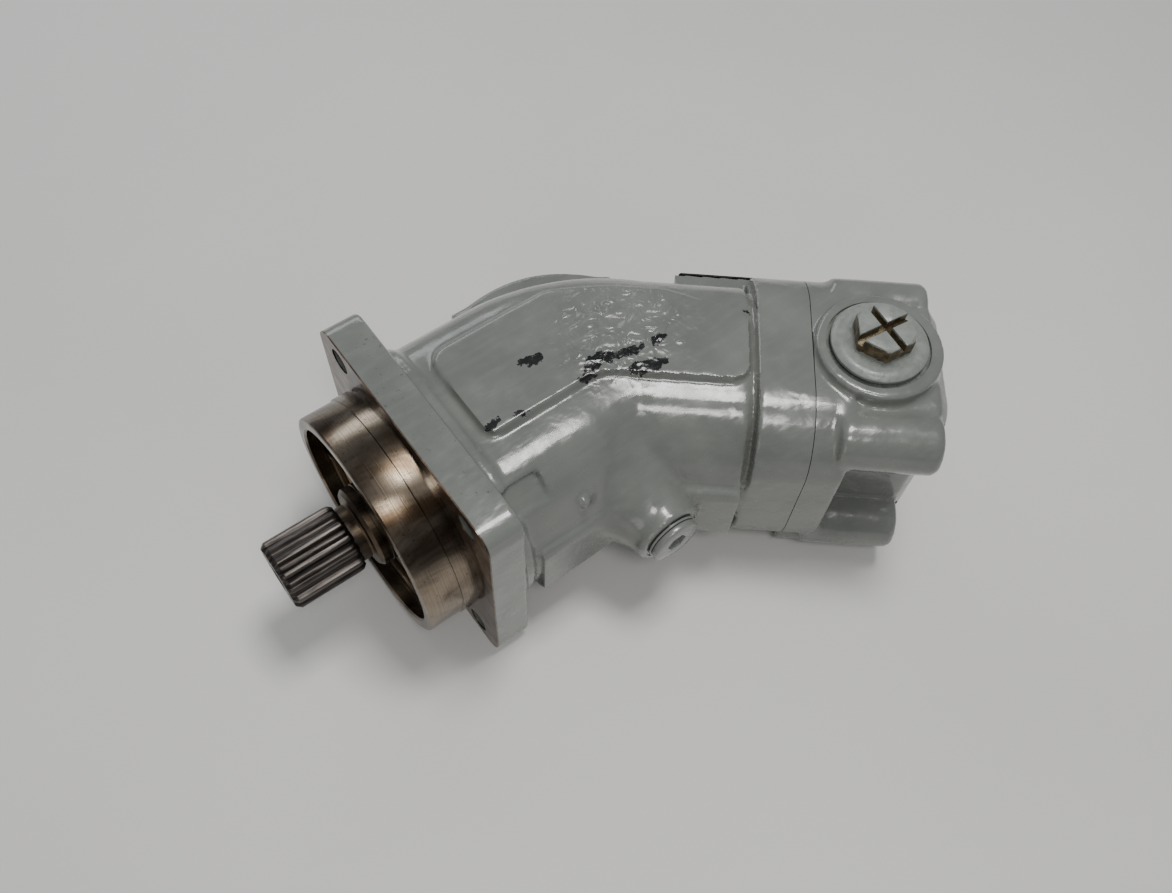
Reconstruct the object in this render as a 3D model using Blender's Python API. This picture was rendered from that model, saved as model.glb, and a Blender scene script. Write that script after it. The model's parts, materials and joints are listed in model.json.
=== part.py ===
"""Bent-axis axial piston unit with a square mounting flange and a splined shaft.

Every length is in millimetres until finish() turns a solid into metres. The design frame has
its origin at the centre of the mounting face, +X along the shaft towards the rear, +Z along
the port axis. The cylinder block turns on a second axis, bent 40 degrees towards -Y.
"""
import math

import bmesh
import bpy
from mathutils import Matrix, Vector

# Overall layout
METRE = 0.001
WELD_DISTANCE = 0.00001
GAP = 0.3
BEND_ANGLE = math.radians(40.0)
BEND_X = 86.7
SHAFT_END_X = -61.0
JOINT_D = 90.0
COVER_END_D = 144.0

# Mounting flange and pilot
FLANGE_THICKNESS = 16.0
FLANGE_HALF_Y = 59.0
FLANGE_HALF_Z = 53.0
FLANGE_CORNER = 9.0
BOLT_HOLE_OFFSET = 125.0 / 2.0 / math.sqrt(2.0)
BOLT_HOLE_RADIUS = 5.5
PILOT_RADIUS = 50.0
PILOT_RELIEF_RADIUS = 49.4
PILOT_LENGTH = 23.1
PILOT_LAND = 8.0

# Housing barrels
SHAFT_BARREL_RADIUS = 55.0
BLOCK_BARREL_RADIUS = 50.0
BARREL_FLAT = 43.2
ELBOW_RADIUS = 60.0
NECK_RADIUS = 47.5
NECK_START_D = 66.0
COLLAR_START_D = 68.3
COLLAR_HALF_N = 48.0
COLLAR_HALF_Z = 45.7
COLLAR_CORNER = 28.0
PAD_TOP_Z = 46.0
BLOCK_CAVITY_RADIUS = 36.0
ELBOW_CAVITY_RADIUS = 38.0

# Bores along the shaft
CARRIER_BORE_RADIUS = 44.0
CARRIER_FRONT_X = -14.0
CARRIER_BACK_X = -1.3
SNAP_GROOVE_RADIUS = 46.2
BEARING_BORE_RADIUS = 40.0
BEARING_STOP_X = 52.0
LIP_RADIUS = 35.0
LIP_END_X = 55.0
SEAL_JOURNAL_RADIUS = 17.5
REAR_JOURNAL_RADIUS = 20.0
DRIVE_FLANGE_RADIUS = 33.0

# Rotating group
PISTON_COUNT = 7
BALL_PITCH = 22.5
BORE_PITCH = BALL_PITCH * (1.0 + math.cos(BEND_ANGLE)) / 2.0
BALL_RADIUS = 7.5
SOCKET_RADIUS = 8.2
HOLE_WIDE = 7.9
HOLE_NARROW = 7.55
PISTON_LENGTH = 50.0
PISTON_HEAD_RADIUS = 6.7
BORE_RADIUS = 7.15
BLOCK_RADIUS = 31.0
BLOCK_START_D = 26.0
BLOCK_END_D = 84.0
BORE_END_D = 76.0
CENTRE_BALL_RADIUS = 6.0
CENTRE_BORE_RADIUS = 6.8
CENTRE_BORE_END_D = 70.0
PLATE_THICKNESS = 2.0
PLATE_RADIUS = 31.0
SCREW_PITCH = 27.5
SCREW_SLOTS = (0, 2, 5)

# Ports, plugs and cover bolts
PORT_D = 115.2
PORT_FACE_Z = 49.8
PORT_BOSS_D = 116.0
PORT_BOSS_RADIUS = 25.4
PORT_SPOT_RADIUS = 21.0
PORT_SPOT_Z = 48.3
PORT_BORE_RADIUS = 13.0
PLUG_FLANGE_RADIUS = 19.4
PLUG_FLANGE_TOP_Z = 53.2
PLUG_HEX_TOP_Z = 61.5
INNER_BOLT_N = -34.0
INNER_BOLT_Z = 32.5
OUTER_BOLT_N = 30.5
OUTER_BOLT_Z = 35.0
BOLT_BOSS_RADIUS = 12.5
BOLT_BOSS_END_D = 140.0
BOLT_SEAT_D = 128.0
DRAIN_X = 75.0
DRAIN_FACE = 75.0
O_RING_RADIUS = 39.1
PLATE_FACE_N = 52.0

# Facets on round pieces, from the barrels down to the screws
LARGE = 32
BEARING = 24
MEDIUM = 20
SMALL = 12

AXIS = Vector((math.cos(BEND_ANGLE), -math.sin(BEND_ANGLE), 0.0))
NORMAL = Vector((math.sin(BEND_ANGLE), math.cos(BEND_ANGLE), 0.0))
UP = Vector((0.0, 0.0, 1.0))


def frame(origin, x_axis, y_axis, z_axis):
    """Return the matrix whose columns are three axes and an origin."""
    matrix = Matrix((x_axis, y_axis, z_axis)).transposed().to_4x4()
    matrix.translation = origin
    return matrix


WORLD = Matrix.Identity(4)
SHAFT = frame((0, 0, 0), (0, 1, 0), (0, 0, 1), (1, 0, 0))
BLOCK = frame((BEND_X, 0, 0), NORMAL, UP, AXIS)
DRAIN = frame((DRAIN_X, 0, 0), (1, 0, 0), (0, 0, 1), (0, -1, 0))
PORT_TOP = frame(BLOCK @ Vector((0, 0, PORT_D)), AXIS, NORMAL, UP) @ Matrix.Rotation(0.35, 4, "Z")
PORT_BOTTOM = PORT_TOP @ Matrix.Rotation(math.pi, 4, "X")


# ---------------------------------------------------------------- shape tools


def clear_scene():
    for item in list(bpy.data.objects):
        bpy.data.objects.remove(item, do_unlink=True)


def solid(points, faces):
    """Make an object in metres from points in millimetres, with its faces pointing out."""
    shape = bmesh.new()
    corners = [shape.verts.new(Vector(point) * METRE) for point in points]
    for face in faces:
        shape.faces.new([corners[index] for index in face])
    bmesh.ops.recalc_face_normals(shape, faces=shape.faces)
    mesh = bpy.data.meshes.new("solid")
    shape.to_mesh(mesh)
    shape.free()
    item = bpy.data.objects.new("solid", mesh)
    bpy.context.scene.collection.objects.link(item)
    return item


def loft(rings):
    """Skin a list of rings that have equal point counts, and cap both ends."""
    count = len(rings[0])
    points = [point for ring in rings for point in ring]
    faces = []
    for level in range(len(rings) - 1):
        for index in range(count):
            after = (index + 1) % count
            low = level * count
            high = low + count
            faces.append((low + index, low + after, high + after, high + index))
    faces.append(tuple(range(count)))
    faces.append(tuple(range(len(points) - count, len(points))))
    return solid(points, faces)


def prism(place, outline, low, high, chamfer=0.0, shrink=0.97):
    """Extrude an outline along the frame's Z, with an optional chamfer at the high end."""
    levels = [(low, 1.0)]
    if chamfer:
        levels.append((high - chamfer, 1.0))
        levels.append((high, shrink))
    else:
        levels.append((high, 1.0))
    rings = [[place @ Vector((x * size, y * size, z)) for x, y in outline] for z, size in levels]
    return loft(rings)


def lathe(place, profile, segments=LARGE):
    """Turn (radius, height) points about the frame's Z.

    A profile that starts off the axis is a closed section and makes a ring.
    """
    points = []
    rows = []
    for radius, height in profile:
        first = len(points)
        if radius == 0.0:
            points.append(place @ Vector((0, 0, height)))
            rows.append([first] * segments)
            continue
        for index in range(segments):
            angle = math.tau * index / segments
            corner = Vector((radius * math.cos(angle), radius * math.sin(angle), height))
            points.append(place @ corner)
        rows.append(list(range(first, first + segments)))
    pairs = list(zip(rows, rows[1:]))
    if profile[0][0] > 0.0:
        pairs.append((rows[-1], rows[0]))
    faces = []
    for low, high in pairs:
        for index in range(segments):
            after = (index + 1) % segments
            corners = (low[index], low[after], high[after], high[index])
            faces.append(tuple(dict.fromkeys(corners)))
    return solid(points, faces)


def cylinder(place, radius, low, high, segments=SMALL):
    return lathe(place, [(0, low), (radius, low), (radius, high), (0, high)], segments)


def sphere(place, radius, segments=SMALL):
    steps = segments // 2
    arc = [math.pi * step / steps for step in range(steps + 1)]
    profile = [(radius * math.sin(angle), -radius * math.cos(angle)) for angle in arc]
    profile[0] = (0.0, -radius)
    profile[-1] = (0.0, radius)
    return lathe(place, profile, segments)


def rounded_rectangle(half_x, half_y, corner, steps=3):
    outline = []
    for quarter in range(4):
        side_x = 1 if quarter in (0, 3) else -1
        side_y = 1 if quarter in (0, 1) else -1
        for step in range(steps + 1):
            angle = math.pi / 2 * (quarter + step / steps)
            x = side_x * (half_x - corner) + corner * math.cos(angle)
            y = side_y * (half_y - corner) + corner * math.sin(angle)
            outline.append((x, y))
    return outline


def box(place, low, high):
    (x0, y0, z0), (x1, y1, z1) = low, high
    return prism(place, [(x0, y0), (x1, y0), (x1, y1), (x0, y1)], z0, z1)


def polygon(radius, count, turn=0.0):
    angles = [turn + math.tau * index / count for index in range(count)]
    return [(radius * math.cos(angle), radius * math.sin(angle)) for angle in angles]


def arc_band(radius, half_width, start, end, steps):
    """Outline of a slot or a clip that follows an arc."""
    angles = [start + (end - start) * step / steps for step in range(steps + 1)]
    outer = [(radius + half_width, angle) for angle in angles]
    inner = [(radius - half_width, angle) for angle in reversed(angles)]
    return [(size * math.cos(angle), size * math.sin(angle)) for size, angle in outer + inner]


def around(place, radius, angle):
    """Move a frame out from its Z axis by a radius at an angle."""
    return place @ Matrix.Translation((radius * math.cos(angle), radius * math.sin(angle), 0))


def weld(mesh):
    """Join corners that a cut left on top of each other, and merge the flat faces it split."""
    shape = bmesh.new()
    shape.from_mesh(mesh)
    bmesh.ops.remove_doubles(shape, verts=shape.verts, dist=WELD_DISTANCE)
    bmesh.ops.dissolve_degenerate(shape, edges=shape.edges, dist=WELD_DISTANCE)
    flat = {"angle_limit": math.radians(0.05), "use_dissolve_boundaries": False}
    bmesh.ops.dissolve_limit(shape, verts=shape.verts, edges=shape.edges, **flat)
    shape.to_mesh(mesh)
    shape.free()


def combine(target, tools, operation):
    """Apply one Boolean for each tool, and remove the tools."""
    for tool in tools:
        modifier = target.modifiers.new("shape", "BOOLEAN")
        modifier.operation = operation
        modifier.solver = "EXACT"
        modifier.object = tool
        depsgraph = bpy.context.evaluated_depsgraph_get()
        mesh = bpy.data.meshes.new_from_object(target.evaluated_get(depsgraph))
        target.modifiers.clear()
        target.data = mesh
        weld(mesh)
        bpy.data.objects.remove(tool, do_unlink=True)
    return target


def join(target, *tools):
    return combine(target, tools, "UNION")


def cut(target, *tools):
    return combine(target, tools, "DIFFERENCE")


# ---------------------------------------------------------------- naming and placing


def material(name, colour, metallic, roughness):
    made = bpy.data.materials.new(name)
    made.use_nodes = True
    shader = made.node_tree.nodes["Principled BSDF"]
    shader.inputs["Base Color"].default_value = (*colour, 1.0)
    shader.inputs["Metallic"].default_value = metallic
    shader.inputs["Roughness"].default_value = roughness
    return made


def make_materials():
    looks = {
        "grey_paint": ((0.22, 0.235, 0.22), 0.0, 0.32),
        "machined_steel": ((0.42, 0.38, 0.33), 1.0, 0.34),
        "shaft_steel": ((0.24, 0.25, 0.28), 1.0, 0.38),
        "bearing_steel": ((0.6, 0.6, 0.62), 1.0, 0.22),
        "bronze": ((0.55, 0.36, 0.16), 1.0, 0.35),
        "olive_zinc": ((0.16, 0.13, 0.07), 0.6, 0.45),
        "black_oxide": ((0.05, 0.05, 0.055), 0.8, 0.45),
        "rubber": ((0.02, 0.02, 0.02), 0.0, 0.7),
        "plate_alloy": ((0.09, 0.09, 0.09), 0.7, 0.4),
        "copper": ((0.6, 0.28, 0.16), 1.0, 0.35),
    }
    return {name: material(name, *values) for name, values in looks.items()}


def frame_shift():
    """Move the centre of the overall box's underside to the world origin."""
    outer = BLOCK @ Vector((OUTER_BOLT_N, 0, BOLT_BOSS_END_D))
    inner = BLOCK @ Vector((INNER_BOLT_N, 0, BOLT_BOSS_END_D))
    rear_x = outer.x + BOLT_BOSS_RADIUS * NORMAL.x
    low_y = inner.y - BOLT_BOSS_RADIUS * NORMAL.y
    middle_x = (SHAFT_END_X + rear_x) / 2
    middle_y = (low_y + FLANGE_HALF_Y) / 2
    return Vector((-middle_x, -middle_y, FLANGE_HALF_Z)) * METRE


def finish(item, name, look, pivot, root):
    """Name a solid, move its origin to its pivot frame and hang it on the root."""
    place = pivot.copy()
    place.translation = pivot.translation * METRE
    item.name = name
    item.data.name = name
    item.data.transform(place.inverted())
    item.data.materials.clear()
    item.data.materials.append(look)
    item.data.shade_smooth()
    item.data.set_sharp_from_angle(angle=math.radians(35))
    item.parent = root
    item.matrix_local = place
    return item


# ---------------------------------------------------------------- housing


def barrel_outline(radius, flat, count=40):
    """Circle whose top and bottom are cut off flat."""
    outline = []
    for index in range(count):
        angle = math.tau * (index + 0.5) / count
        reach = min(radius, flat / max(abs(math.sin(angle)), 1e-6))
        outline.append((reach * math.cos(angle), reach * math.sin(angle)))
    return outline


def elbow_frames(steps):
    """Frames along the arc that joins the shaft axis to the block axis."""
    tangent = ELBOW_RADIUS * math.tan(BEND_ANGLE / 2)
    centre = Vector((BEND_X - tangent, -ELBOW_RADIUS, 0))
    frames = []
    for step in range(steps + 1):
        share = step / steps
        angle = BEND_ANGLE * share
        outward = Vector((math.sin(angle), math.cos(angle), 0))
        forward = Vector((math.cos(angle), -math.sin(angle), 0))
        frames.append((share, frame(centre + outward * ELBOW_RADIUS, outward, UP, forward)))
    return frames


def barrel_body():
    """Both barrels and the elbow between them, as one skin."""

    def ring(place, radius, along=0.0):
        outline = barrel_outline(radius, BARREL_FLAT)
        return [place @ Vector((x, y, along)) for x, y in outline]

    rings = [ring(SHAFT, SHAFT_BARREL_RADIUS, FLANGE_THICKNESS - 6)]
    for share, place in elbow_frames(5):
        radius = SHAFT_BARREL_RADIUS + share * (BLOCK_BARREL_RADIUS - SHAFT_BARREL_RADIUS)
        rings.append(ring(place, radius))
    rings.append(ring(BLOCK, BLOCK_BARREL_RADIUS, NECK_START_D - 1))
    rings.append(ring(BLOCK, NECK_RADIUS, NECK_START_D))
    rings.append(ring(BLOCK, NECK_RADIUS, COLLAR_START_D + 4))
    return loft(rings)


def elbow_band():
    """Raised band round the outside of the elbow, highest in its middle."""
    rings = []
    for share, place in elbow_frames(8)[0:7]:
        radius = SHAFT_BARREL_RADIUS + share * (BLOCK_BARREL_RADIUS - SHAFT_BARREL_RADIUS)
        top = radius + 2.0 + 5.0 * math.sin(math.pi * share / 0.75)
        outline = [(40, -20), (top - 3, -20), (top, -16), (top, 16), (top - 3, 20), (40, 20)]
        rings.append([place @ Vector((x, y, 0)) for x, y in outline])
    return loft(rings)


def top_pad():
    """Raised flat on top that follows the bend."""
    block_edge = [(-18, 13), (-18, 60), (-14, 65), (12, 65), (16, 61), (25, 31), (25, 7)]
    corners = [(28, -15.5), (31, -18.3), (79, -18.3)]
    for offset, along in block_edge:
        place = BLOCK @ Vector((offset, 0, along))
        corners.append((place.x, place.y))
    corners += [(86, 27), (33, 27), (28, 22)]
    return prism(WORLD, corners, BARREL_FLAT - 5, PAD_TOP_Z)


def side_pads():
    """Flat walls along both barrels inside the bend, and the plate's seat."""
    front_wall = [(-20, -24), (-53.5, -24), (-55.8, -21), (-55.8, 3), (-53.5, 7.5), (-20, 7.5)]
    rear_wall = [(-20, -24), (-48.5, -24), (-51, -21), (-51, 3), (-49, 6), (-20, 6)]
    seat = box(BLOCK, (40, -22, 37), (PLATE_FACE_N, 22, 84))
    return prism(SHAFT, front_wall, 25, 66), prism(BLOCK, rear_wall, 40, NECK_START_D), seat


def barrel_pocket():
    """Cutter for the small sloping flat beside the flange."""
    outline = [(-36.5, 38.5), (-46.5, 30.6), (-53.9, 40.0), (-43.9, 47.9)]
    return prism(SHAFT, outline, FLANGE_THICKNESS + 2, 36)


def drain_boss():
    profile = [(0, 30), (31, 30), (28, 46), (20, 60), (16, 68), (15, DRAIN_FACE), (0, DRAIN_FACE)]
    return lathe(DRAIN, profile, MEDIUM)


def shaft_bore():
    """Everything the shaft, the seal carrier and the bearings need, as one cutter."""
    front = CARRIER_FRONT_X
    profile = [
        (0, -PILOT_LENGTH - 5),
        (CARRIER_BORE_RADIUS, -PILOT_LENGTH - 5),
        (CARRIER_BORE_RADIUS, front - 2.8),
        (SNAP_GROOVE_RADIUS, front - 2.8),
        (SNAP_GROOVE_RADIUS, front),
        (CARRIER_BORE_RADIUS, front),
        (CARRIER_BORE_RADIUS, CARRIER_BACK_X + GAP),
        (BEARING_BORE_RADIUS, CARRIER_BACK_X + GAP),
        (BEARING_BORE_RADIUS, BEARING_STOP_X),
        (LIP_RADIUS, BEARING_STOP_X),
        (LIP_RADIUS, LIP_END_X),
        (BLOCK_CAVITY_RADIUS, LIP_END_X),
        (BLOCK_CAVITY_RADIUS, BEND_X),
        (0, BEND_X),
    ]
    return lathe(SHAFT, profile)


def cover_corners():
    pairs = ((OUTER_BOLT_N, OUTER_BOLT_Z), (INNER_BOLT_N, INNER_BOLT_Z))
    return [(offset, side * height) for offset, height in pairs for side in (1, -1)]


def make_housing():
    pilot = [
        (0, -PILOT_LENGTH),
        (PILOT_RELIEF_RADIUS - 0.8, -PILOT_LENGTH),
        (PILOT_RELIEF_RADIUS, -PILOT_LENGTH + 0.8),
        (PILOT_RELIEF_RADIUS, -PILOT_LAND - 0.4),
        (PILOT_RADIUS, -PILOT_LAND),
        (PILOT_RADIUS, 5),
        (0, 5),
    ]
    collar = rounded_rectangle(COLLAR_HALF_N, COLLAR_HALF_Z, COLLAR_CORNER)
    flange = rounded_rectangle(FLANGE_HALF_Y, FLANGE_HALF_Z, FLANGE_CORNER)
    housing = join(
        barrel_body(),
        prism(SHAFT, flange, 0, FLANGE_THICKNESS),
        lathe(SHAFT, pilot),
        prism(BLOCK, collar, COLLAR_START_D, JOINT_D),
        top_pad(),
        elbow_band(),
        *side_pads(),
        drain_boss(),
    )
    holes = []
    for side_y in (1, -1):
        for side_z in (1, -1):
            spot = Matrix.Translation((side_y * BOLT_HOLE_OFFSET, side_z * BOLT_HOLE_OFFSET, 0))
            holes.append(cylinder(SHAFT @ spot, BOLT_HOLE_RADIUS, -2, FLANGE_THICKNESS + 2, SMALL))
    for offset, height in cover_corners():
        place = BLOCK @ Matrix.Translation((offset, height, 0))
        holes.append(cylinder(place, 4.6, 71, JOINT_D + 2, 12))
    for place in dowel_places():
        holes.append(cylinder(place, 2.3, JOINT_D - 8, JOINT_D + 2, 12))
    for place in rivet_places():
        holes.append(cylinder(place, 1.3, -4, 2, 8))
    return cut(
        housing,
        shaft_bore(),
        sphere(BLOCK, ELBOW_CAVITY_RADIUS, MEDIUM),
        cylinder(BLOCK, BLOCK_CAVITY_RADIUS, -4, JOINT_D + 5, LARGE),
        barrel_pocket(),
        cylinder(DRAIN, 8.3, 62, DRAIN_FACE + 2, SMALL),
        cylinder(DRAIN, 5.0, 30, 64, SMALL),
        *holes,
    )


def dowel_places():
    return [BLOCK @ Matrix.Translation((side * 44.3, 0, 0)) for side in (1, -1)]


def rivet_places():
    """Frames on the plate's seat, with Z pointing out of it."""
    frames = []
    for along in (41.5, 79.5):
        centre = BLOCK @ Vector((PLATE_FACE_N, 0, along))
        frames.append(frame(centre, AXIS, -UP, NORMAL))
    return frames


# ---------------------------------------------------------------- end cover


def port_passage(side):
    """Bore from a port to the face that the valve plate seals on."""
    turn = Matrix.Rotation(0 if side > 0 else math.pi, 4, "Z")
    channel = arc_band(BORE_PITCH, 4.5, math.radians(55), math.radians(125), 6)
    return [
        cylinder(PORT_TOP if side > 0 else PORT_BOTTOM, PORT_BORE_RADIUS, 12, PORT_FACE_Z + 3, MEDIUM),
        cylinder(PORT_TOP if side > 0 else PORT_BOTTOM, PORT_SPOT_RADIUS, PORT_SPOT_Z, 55, BEARING),
        prism(BLOCK @ turn, channel, JOINT_D - 3, PORT_D),
    ]


def port_boss():
    """Round boss that carries both port faces."""
    place = frame(BLOCK @ Vector((0, 0, PORT_BOSS_D)), AXIS, NORMAL, UP)
    return cylinder(place, PORT_BOSS_RADIUS, -PORT_FACE_Z, PORT_FACE_Z, LARGE)


def make_cover():
    start = JOINT_D + GAP
    plate = rounded_rectangle(COLLAR_HALF_N, COLLAR_HALF_Z, COLLAR_CORNER)
    centre = rounded_rectangle(30, 44.5, 9)
    bosses = []
    holes = []
    for offset, height in cover_corners():
        place = BLOCK @ Matrix.Translation((offset, height, 0))
        side = BOLT_BOSS_RADIUS
        end = BOLT_BOSS_END_D
        rounded = [(0, 100), (side, 100), (side, end - 2), (side - 1.5, end), (0, end)]
        bosses.append(lathe(place, rounded, MEDIUM))
        holes.append(cylinder(place, 8.4, BOLT_SEAT_D, BOLT_BOSS_END_D + 3, SMALL))
        holes.append(cylinder(place, 5.3, JOINT_D - 2, BOLT_SEAT_D + 2, 12))
    for place in dowel_places():
        holes.append(cylinder(place, 2.3, JOINT_D - 2, 98, 12))
    web = box(BLOCK, (-38, 21, 101), (33, 43.5, 136.5))
    lower_web = box(BLOCK, (-38, -43.5, 101), (33, -21, 136.5))
    nub = cylinder(BLOCK @ Matrix.Translation((-33, -39, 0)), 9.5, 90.6, 104, SMALL)
    cover = join(
        prism(BLOCK, plate, start, 105),
        prism(BLOCK, centre, 99, COVER_END_D, 5, 0.88),
        web,
        lower_web,
        port_boss(),
        nub,
        *bosses,
    )
    groove = [(37.6, 88), (40.6, 88), (40.6, 92.6), (37.6, 92.6)]
    plate_pin = BLOCK @ Matrix.Translation((28, 0, 0))
    return cut(
        cover,
        *port_passage(1),
        *port_passage(-1),
        lathe(BLOCK, groove),
        cylinder(plate_pin, 1.8, 88, 96, 12),
        *holes,
    )


def make_cover_bolt(place):
    """Socket-head cap screw whose head sits in the counterbore."""
    seat = BOLT_SEAT_D + GAP
    profile = [(0, 74), (4.0, 74), (4.3, 75), (4.3, seat), (8.0, seat), (8.0, seat + 9), (7.4, seat + 10)]
    profile.append((0, seat + 10))
    bolt = lathe(place, profile, SMALL)
    return cut(bolt, prism(place, polygon(4.6, 6), seat + 5, seat + 12))


def make_dowel(place):
    half = 7
    middle = JOINT_D + 0.1
    profile = [(0, middle - half), (1.6, middle - half), (2.0, middle - half + 0.5)]
    profile += [(2.0, middle + half - 0.5), (1.6, middle + half), (0, middle + half)]
    return lathe(place, profile, 12)


def o_ring(place, radius, height, section, segments=BEARING):
    profile = [(radius + x, height + y) for x, y in polygon(section, 5, 0.2)]
    return lathe(place, profile, segments)


# ---------------------------------------------------------------- plugs and plate


def make_port_plug():
    """Hexagon plug with a cross slot in its head."""
    profile = [(0, 34), (11.8, 34), (12.6, 35), (12.6, 50.2), (PLUG_FLANGE_RADIUS, 50.2)]
    profile += [(PLUG_FLANGE_RADIUS, 51.8), (16.8, PLUG_FLANGE_TOP_Z), (0, PLUG_FLANGE_TOP_Z)]
    plug = lathe(PORT_TOP, profile, BEARING)
    hexagon = prism(PORT_TOP, polygon(12.4, 6, 0.2), 50.5, PLUG_HEX_TOP_Z, 1.0, 0.93)
    slots = []
    for turn in (0.2, 0.2 + math.pi / 2):
        place = PORT_TOP @ Matrix.Rotation(turn, 4, "Z")
        slots.append(box(place, (-15, -1.5, 57.3), (15, 1.5, 64)))
    return cut(join(plug, hexagon), *slots)


def make_flush_plug():
    """Plug with a hexagon socket, almost flush with the lower port."""
    low = PORT_SPOT_Z + 1.9
    profile = [(0, 34), (11.8, 34), (12.6, 35), (12.6, low), (PLUG_FLANGE_RADIUS, low)]
    profile += [(PLUG_FLANGE_RADIUS, 51.9), (18.7, 52.6), (0, 52.6)]
    plug = lathe(PORT_BOTTOM, profile, BEARING)
    return cut(plug, prism(PORT_BOTTOM, polygon(8.1, 6), 44, 54))


def make_seal_washer(place, inner, outer, low, thickness):
    section = [(inner, low), (outer, low), (outer, low + thickness), (inner, low + thickness)]
    return lathe(place, section, MEDIUM)


def make_drain_plug():
    face = DRAIN_FACE + 1.3 + GAP
    profile = [(0, 64), (7.3, 64), (7.9, 65), (7.9, face), (11, face), (11, face + 1.8)]
    profile += [(10.2, face + 2.6), (0, face + 2.6)]
    return cut(lathe(DRAIN, profile, MEDIUM), prism(DRAIN, polygon(4.6, 6), 72, face + 5))


def make_plate():
    low = PLATE_FACE_N + GAP
    plate = box(BLOCK, (low, -20, 38.5), (low + 0.8, 20, 82.5))
    return cut(plate, *[cylinder(place, 1.5, -2, 3, 8) for place in rivet_places()])


def make_rivet(place):
    top = GAP + 0.8 + GAP
    profile = [(0, -3.4), (0.9, -3.4), (1.0, top), (2.4, top), (2.1, top + 0.5), (1.2, top + 0.9)]
    profile.append((0, top + 1.0))
    return lathe(place, profile, 8)


# ---------------------------------------------------------------- seal, bearings and shaft


def make_seal_carrier():
    outer = CARRIER_BORE_RADIUS - GAP
    back = CARRIER_BACK_X
    profile = [
        (26.0, CARRIER_FRONT_X),
        (outer - 0.8, CARRIER_FRONT_X),
        (outer, CARRIER_FRONT_X + 0.8),
        (outer, -9.0),
        (outer - 2.5, -9.0),
        (outer - 2.5, -5.8),
        (outer, -5.8),
        (outer, back),
        (20.0, back),
        (20.0, -5.0),
        (26.0, -5.0),
    ]
    return lathe(SHAFT, profile, BEARING)


def make_shaft_seal():
    inner = SEAL_JOURNAL_RADIUS + GAP
    profile = [(inner, -5.4), (25.7, -5.4), (25.7, -12.4), (22.0, -12.4), (20.6, -10.0)]
    profile += [(19.0, -12.4), (inner, -11.0)]
    return lathe(SHAFT, profile, BEARING)


def make_snap_ring():
    front = CARRIER_FRONT_X - 2.5
    outline = arc_band(42.8, 2.9, math.radians(10), math.radians(350), 22)
    ring = prism(SHAFT, outline, front, CARRIER_FRONT_X - GAP)
    holes = []
    for angle in (math.radians(13.5), math.radians(346.5)):
        holes.append(cylinder(around(SHAFT, 42.2, angle), 1.2, front - 2, CARRIER_FRONT_X + 2, 8))
    return cut(ring, *holes)


def make_race(inner_low, inner_high, outer_low, outer_high, low, high):
    section = [(inner_low, low), (outer_low, low), (outer_high, high), (inner_high, high)]
    return lathe(SHAFT, section, BEARING)


def make_roller_set(inner, outer, taper, low, high, count):
    """Tapered rollers held in their cage, as one scalloped ring."""
    middle = (inner + outer) / 2
    radius = (outer - inner) / 2
    web = radius * 0.3
    steps = 4
    rings = []
    for along, growth in ((low, 0.0), (high, taper)):
        outer_line = []
        inner_line = []
        for index in range(count * steps):
            angle = math.tau * index / (count * steps)
            swing = math.tau * ((index % steps) / steps - 0.5) / count * middle
            bulge = math.sqrt(max(radius * radius - swing * swing, 0.0))
            bulge = max(bulge, web)
            outer_line.append((middle + bulge + growth, angle))
            inner_line.append((middle - bulge + growth, angle))
        rings.append((along, outer_line, inner_line))
    points = []
    for along, outer_line, inner_line in rings:
        for size, angle in outer_line + inner_line:
            points.append(SHAFT @ Vector((size * math.cos(angle), size * math.sin(angle), along)))
    total = count * steps
    faces = []
    for index in range(total):
        after = (index + 1) % total
        for first in (0, total):
            low_a, low_b = first + index, first + after
            faces.append((low_a, low_b, low_b + 2 * total, low_a + 2 * total))
        for base in (0, 2 * total):
            faces.append((base + index, base + after, base + total + after, base + total + index))
    return solid(points, faces)


def spline_outline(root, tip, teeth):
    outline = []
    pitch = math.tau / teeth
    for tooth in range(teeth):
        for share, radius in ((0.0, root), (0.36, root), (0.46, tip), (0.9, tip)):
            angle = pitch * (tooth + share)
            outline.append((radius * math.cos(angle), radius * math.sin(angle)))
    return outline


def ball_angle(index):
    return math.tau * index / PISTON_COUNT


def ball_place(index):
    """Frame parallel to the design frame at a piston ball's centre."""
    angle = ball_angle(index)
    centre = Vector((BEND_X, BALL_PITCH * math.cos(angle), BALL_PITCH * math.sin(angle)))
    return Matrix.Translation(centre)


def screw_places():
    pitch = math.tau / PISTON_COUNT
    return [around(SHAFT, SCREW_PITCH, pitch * (slot + 0.5)) for slot in SCREW_SLOTS]


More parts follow.
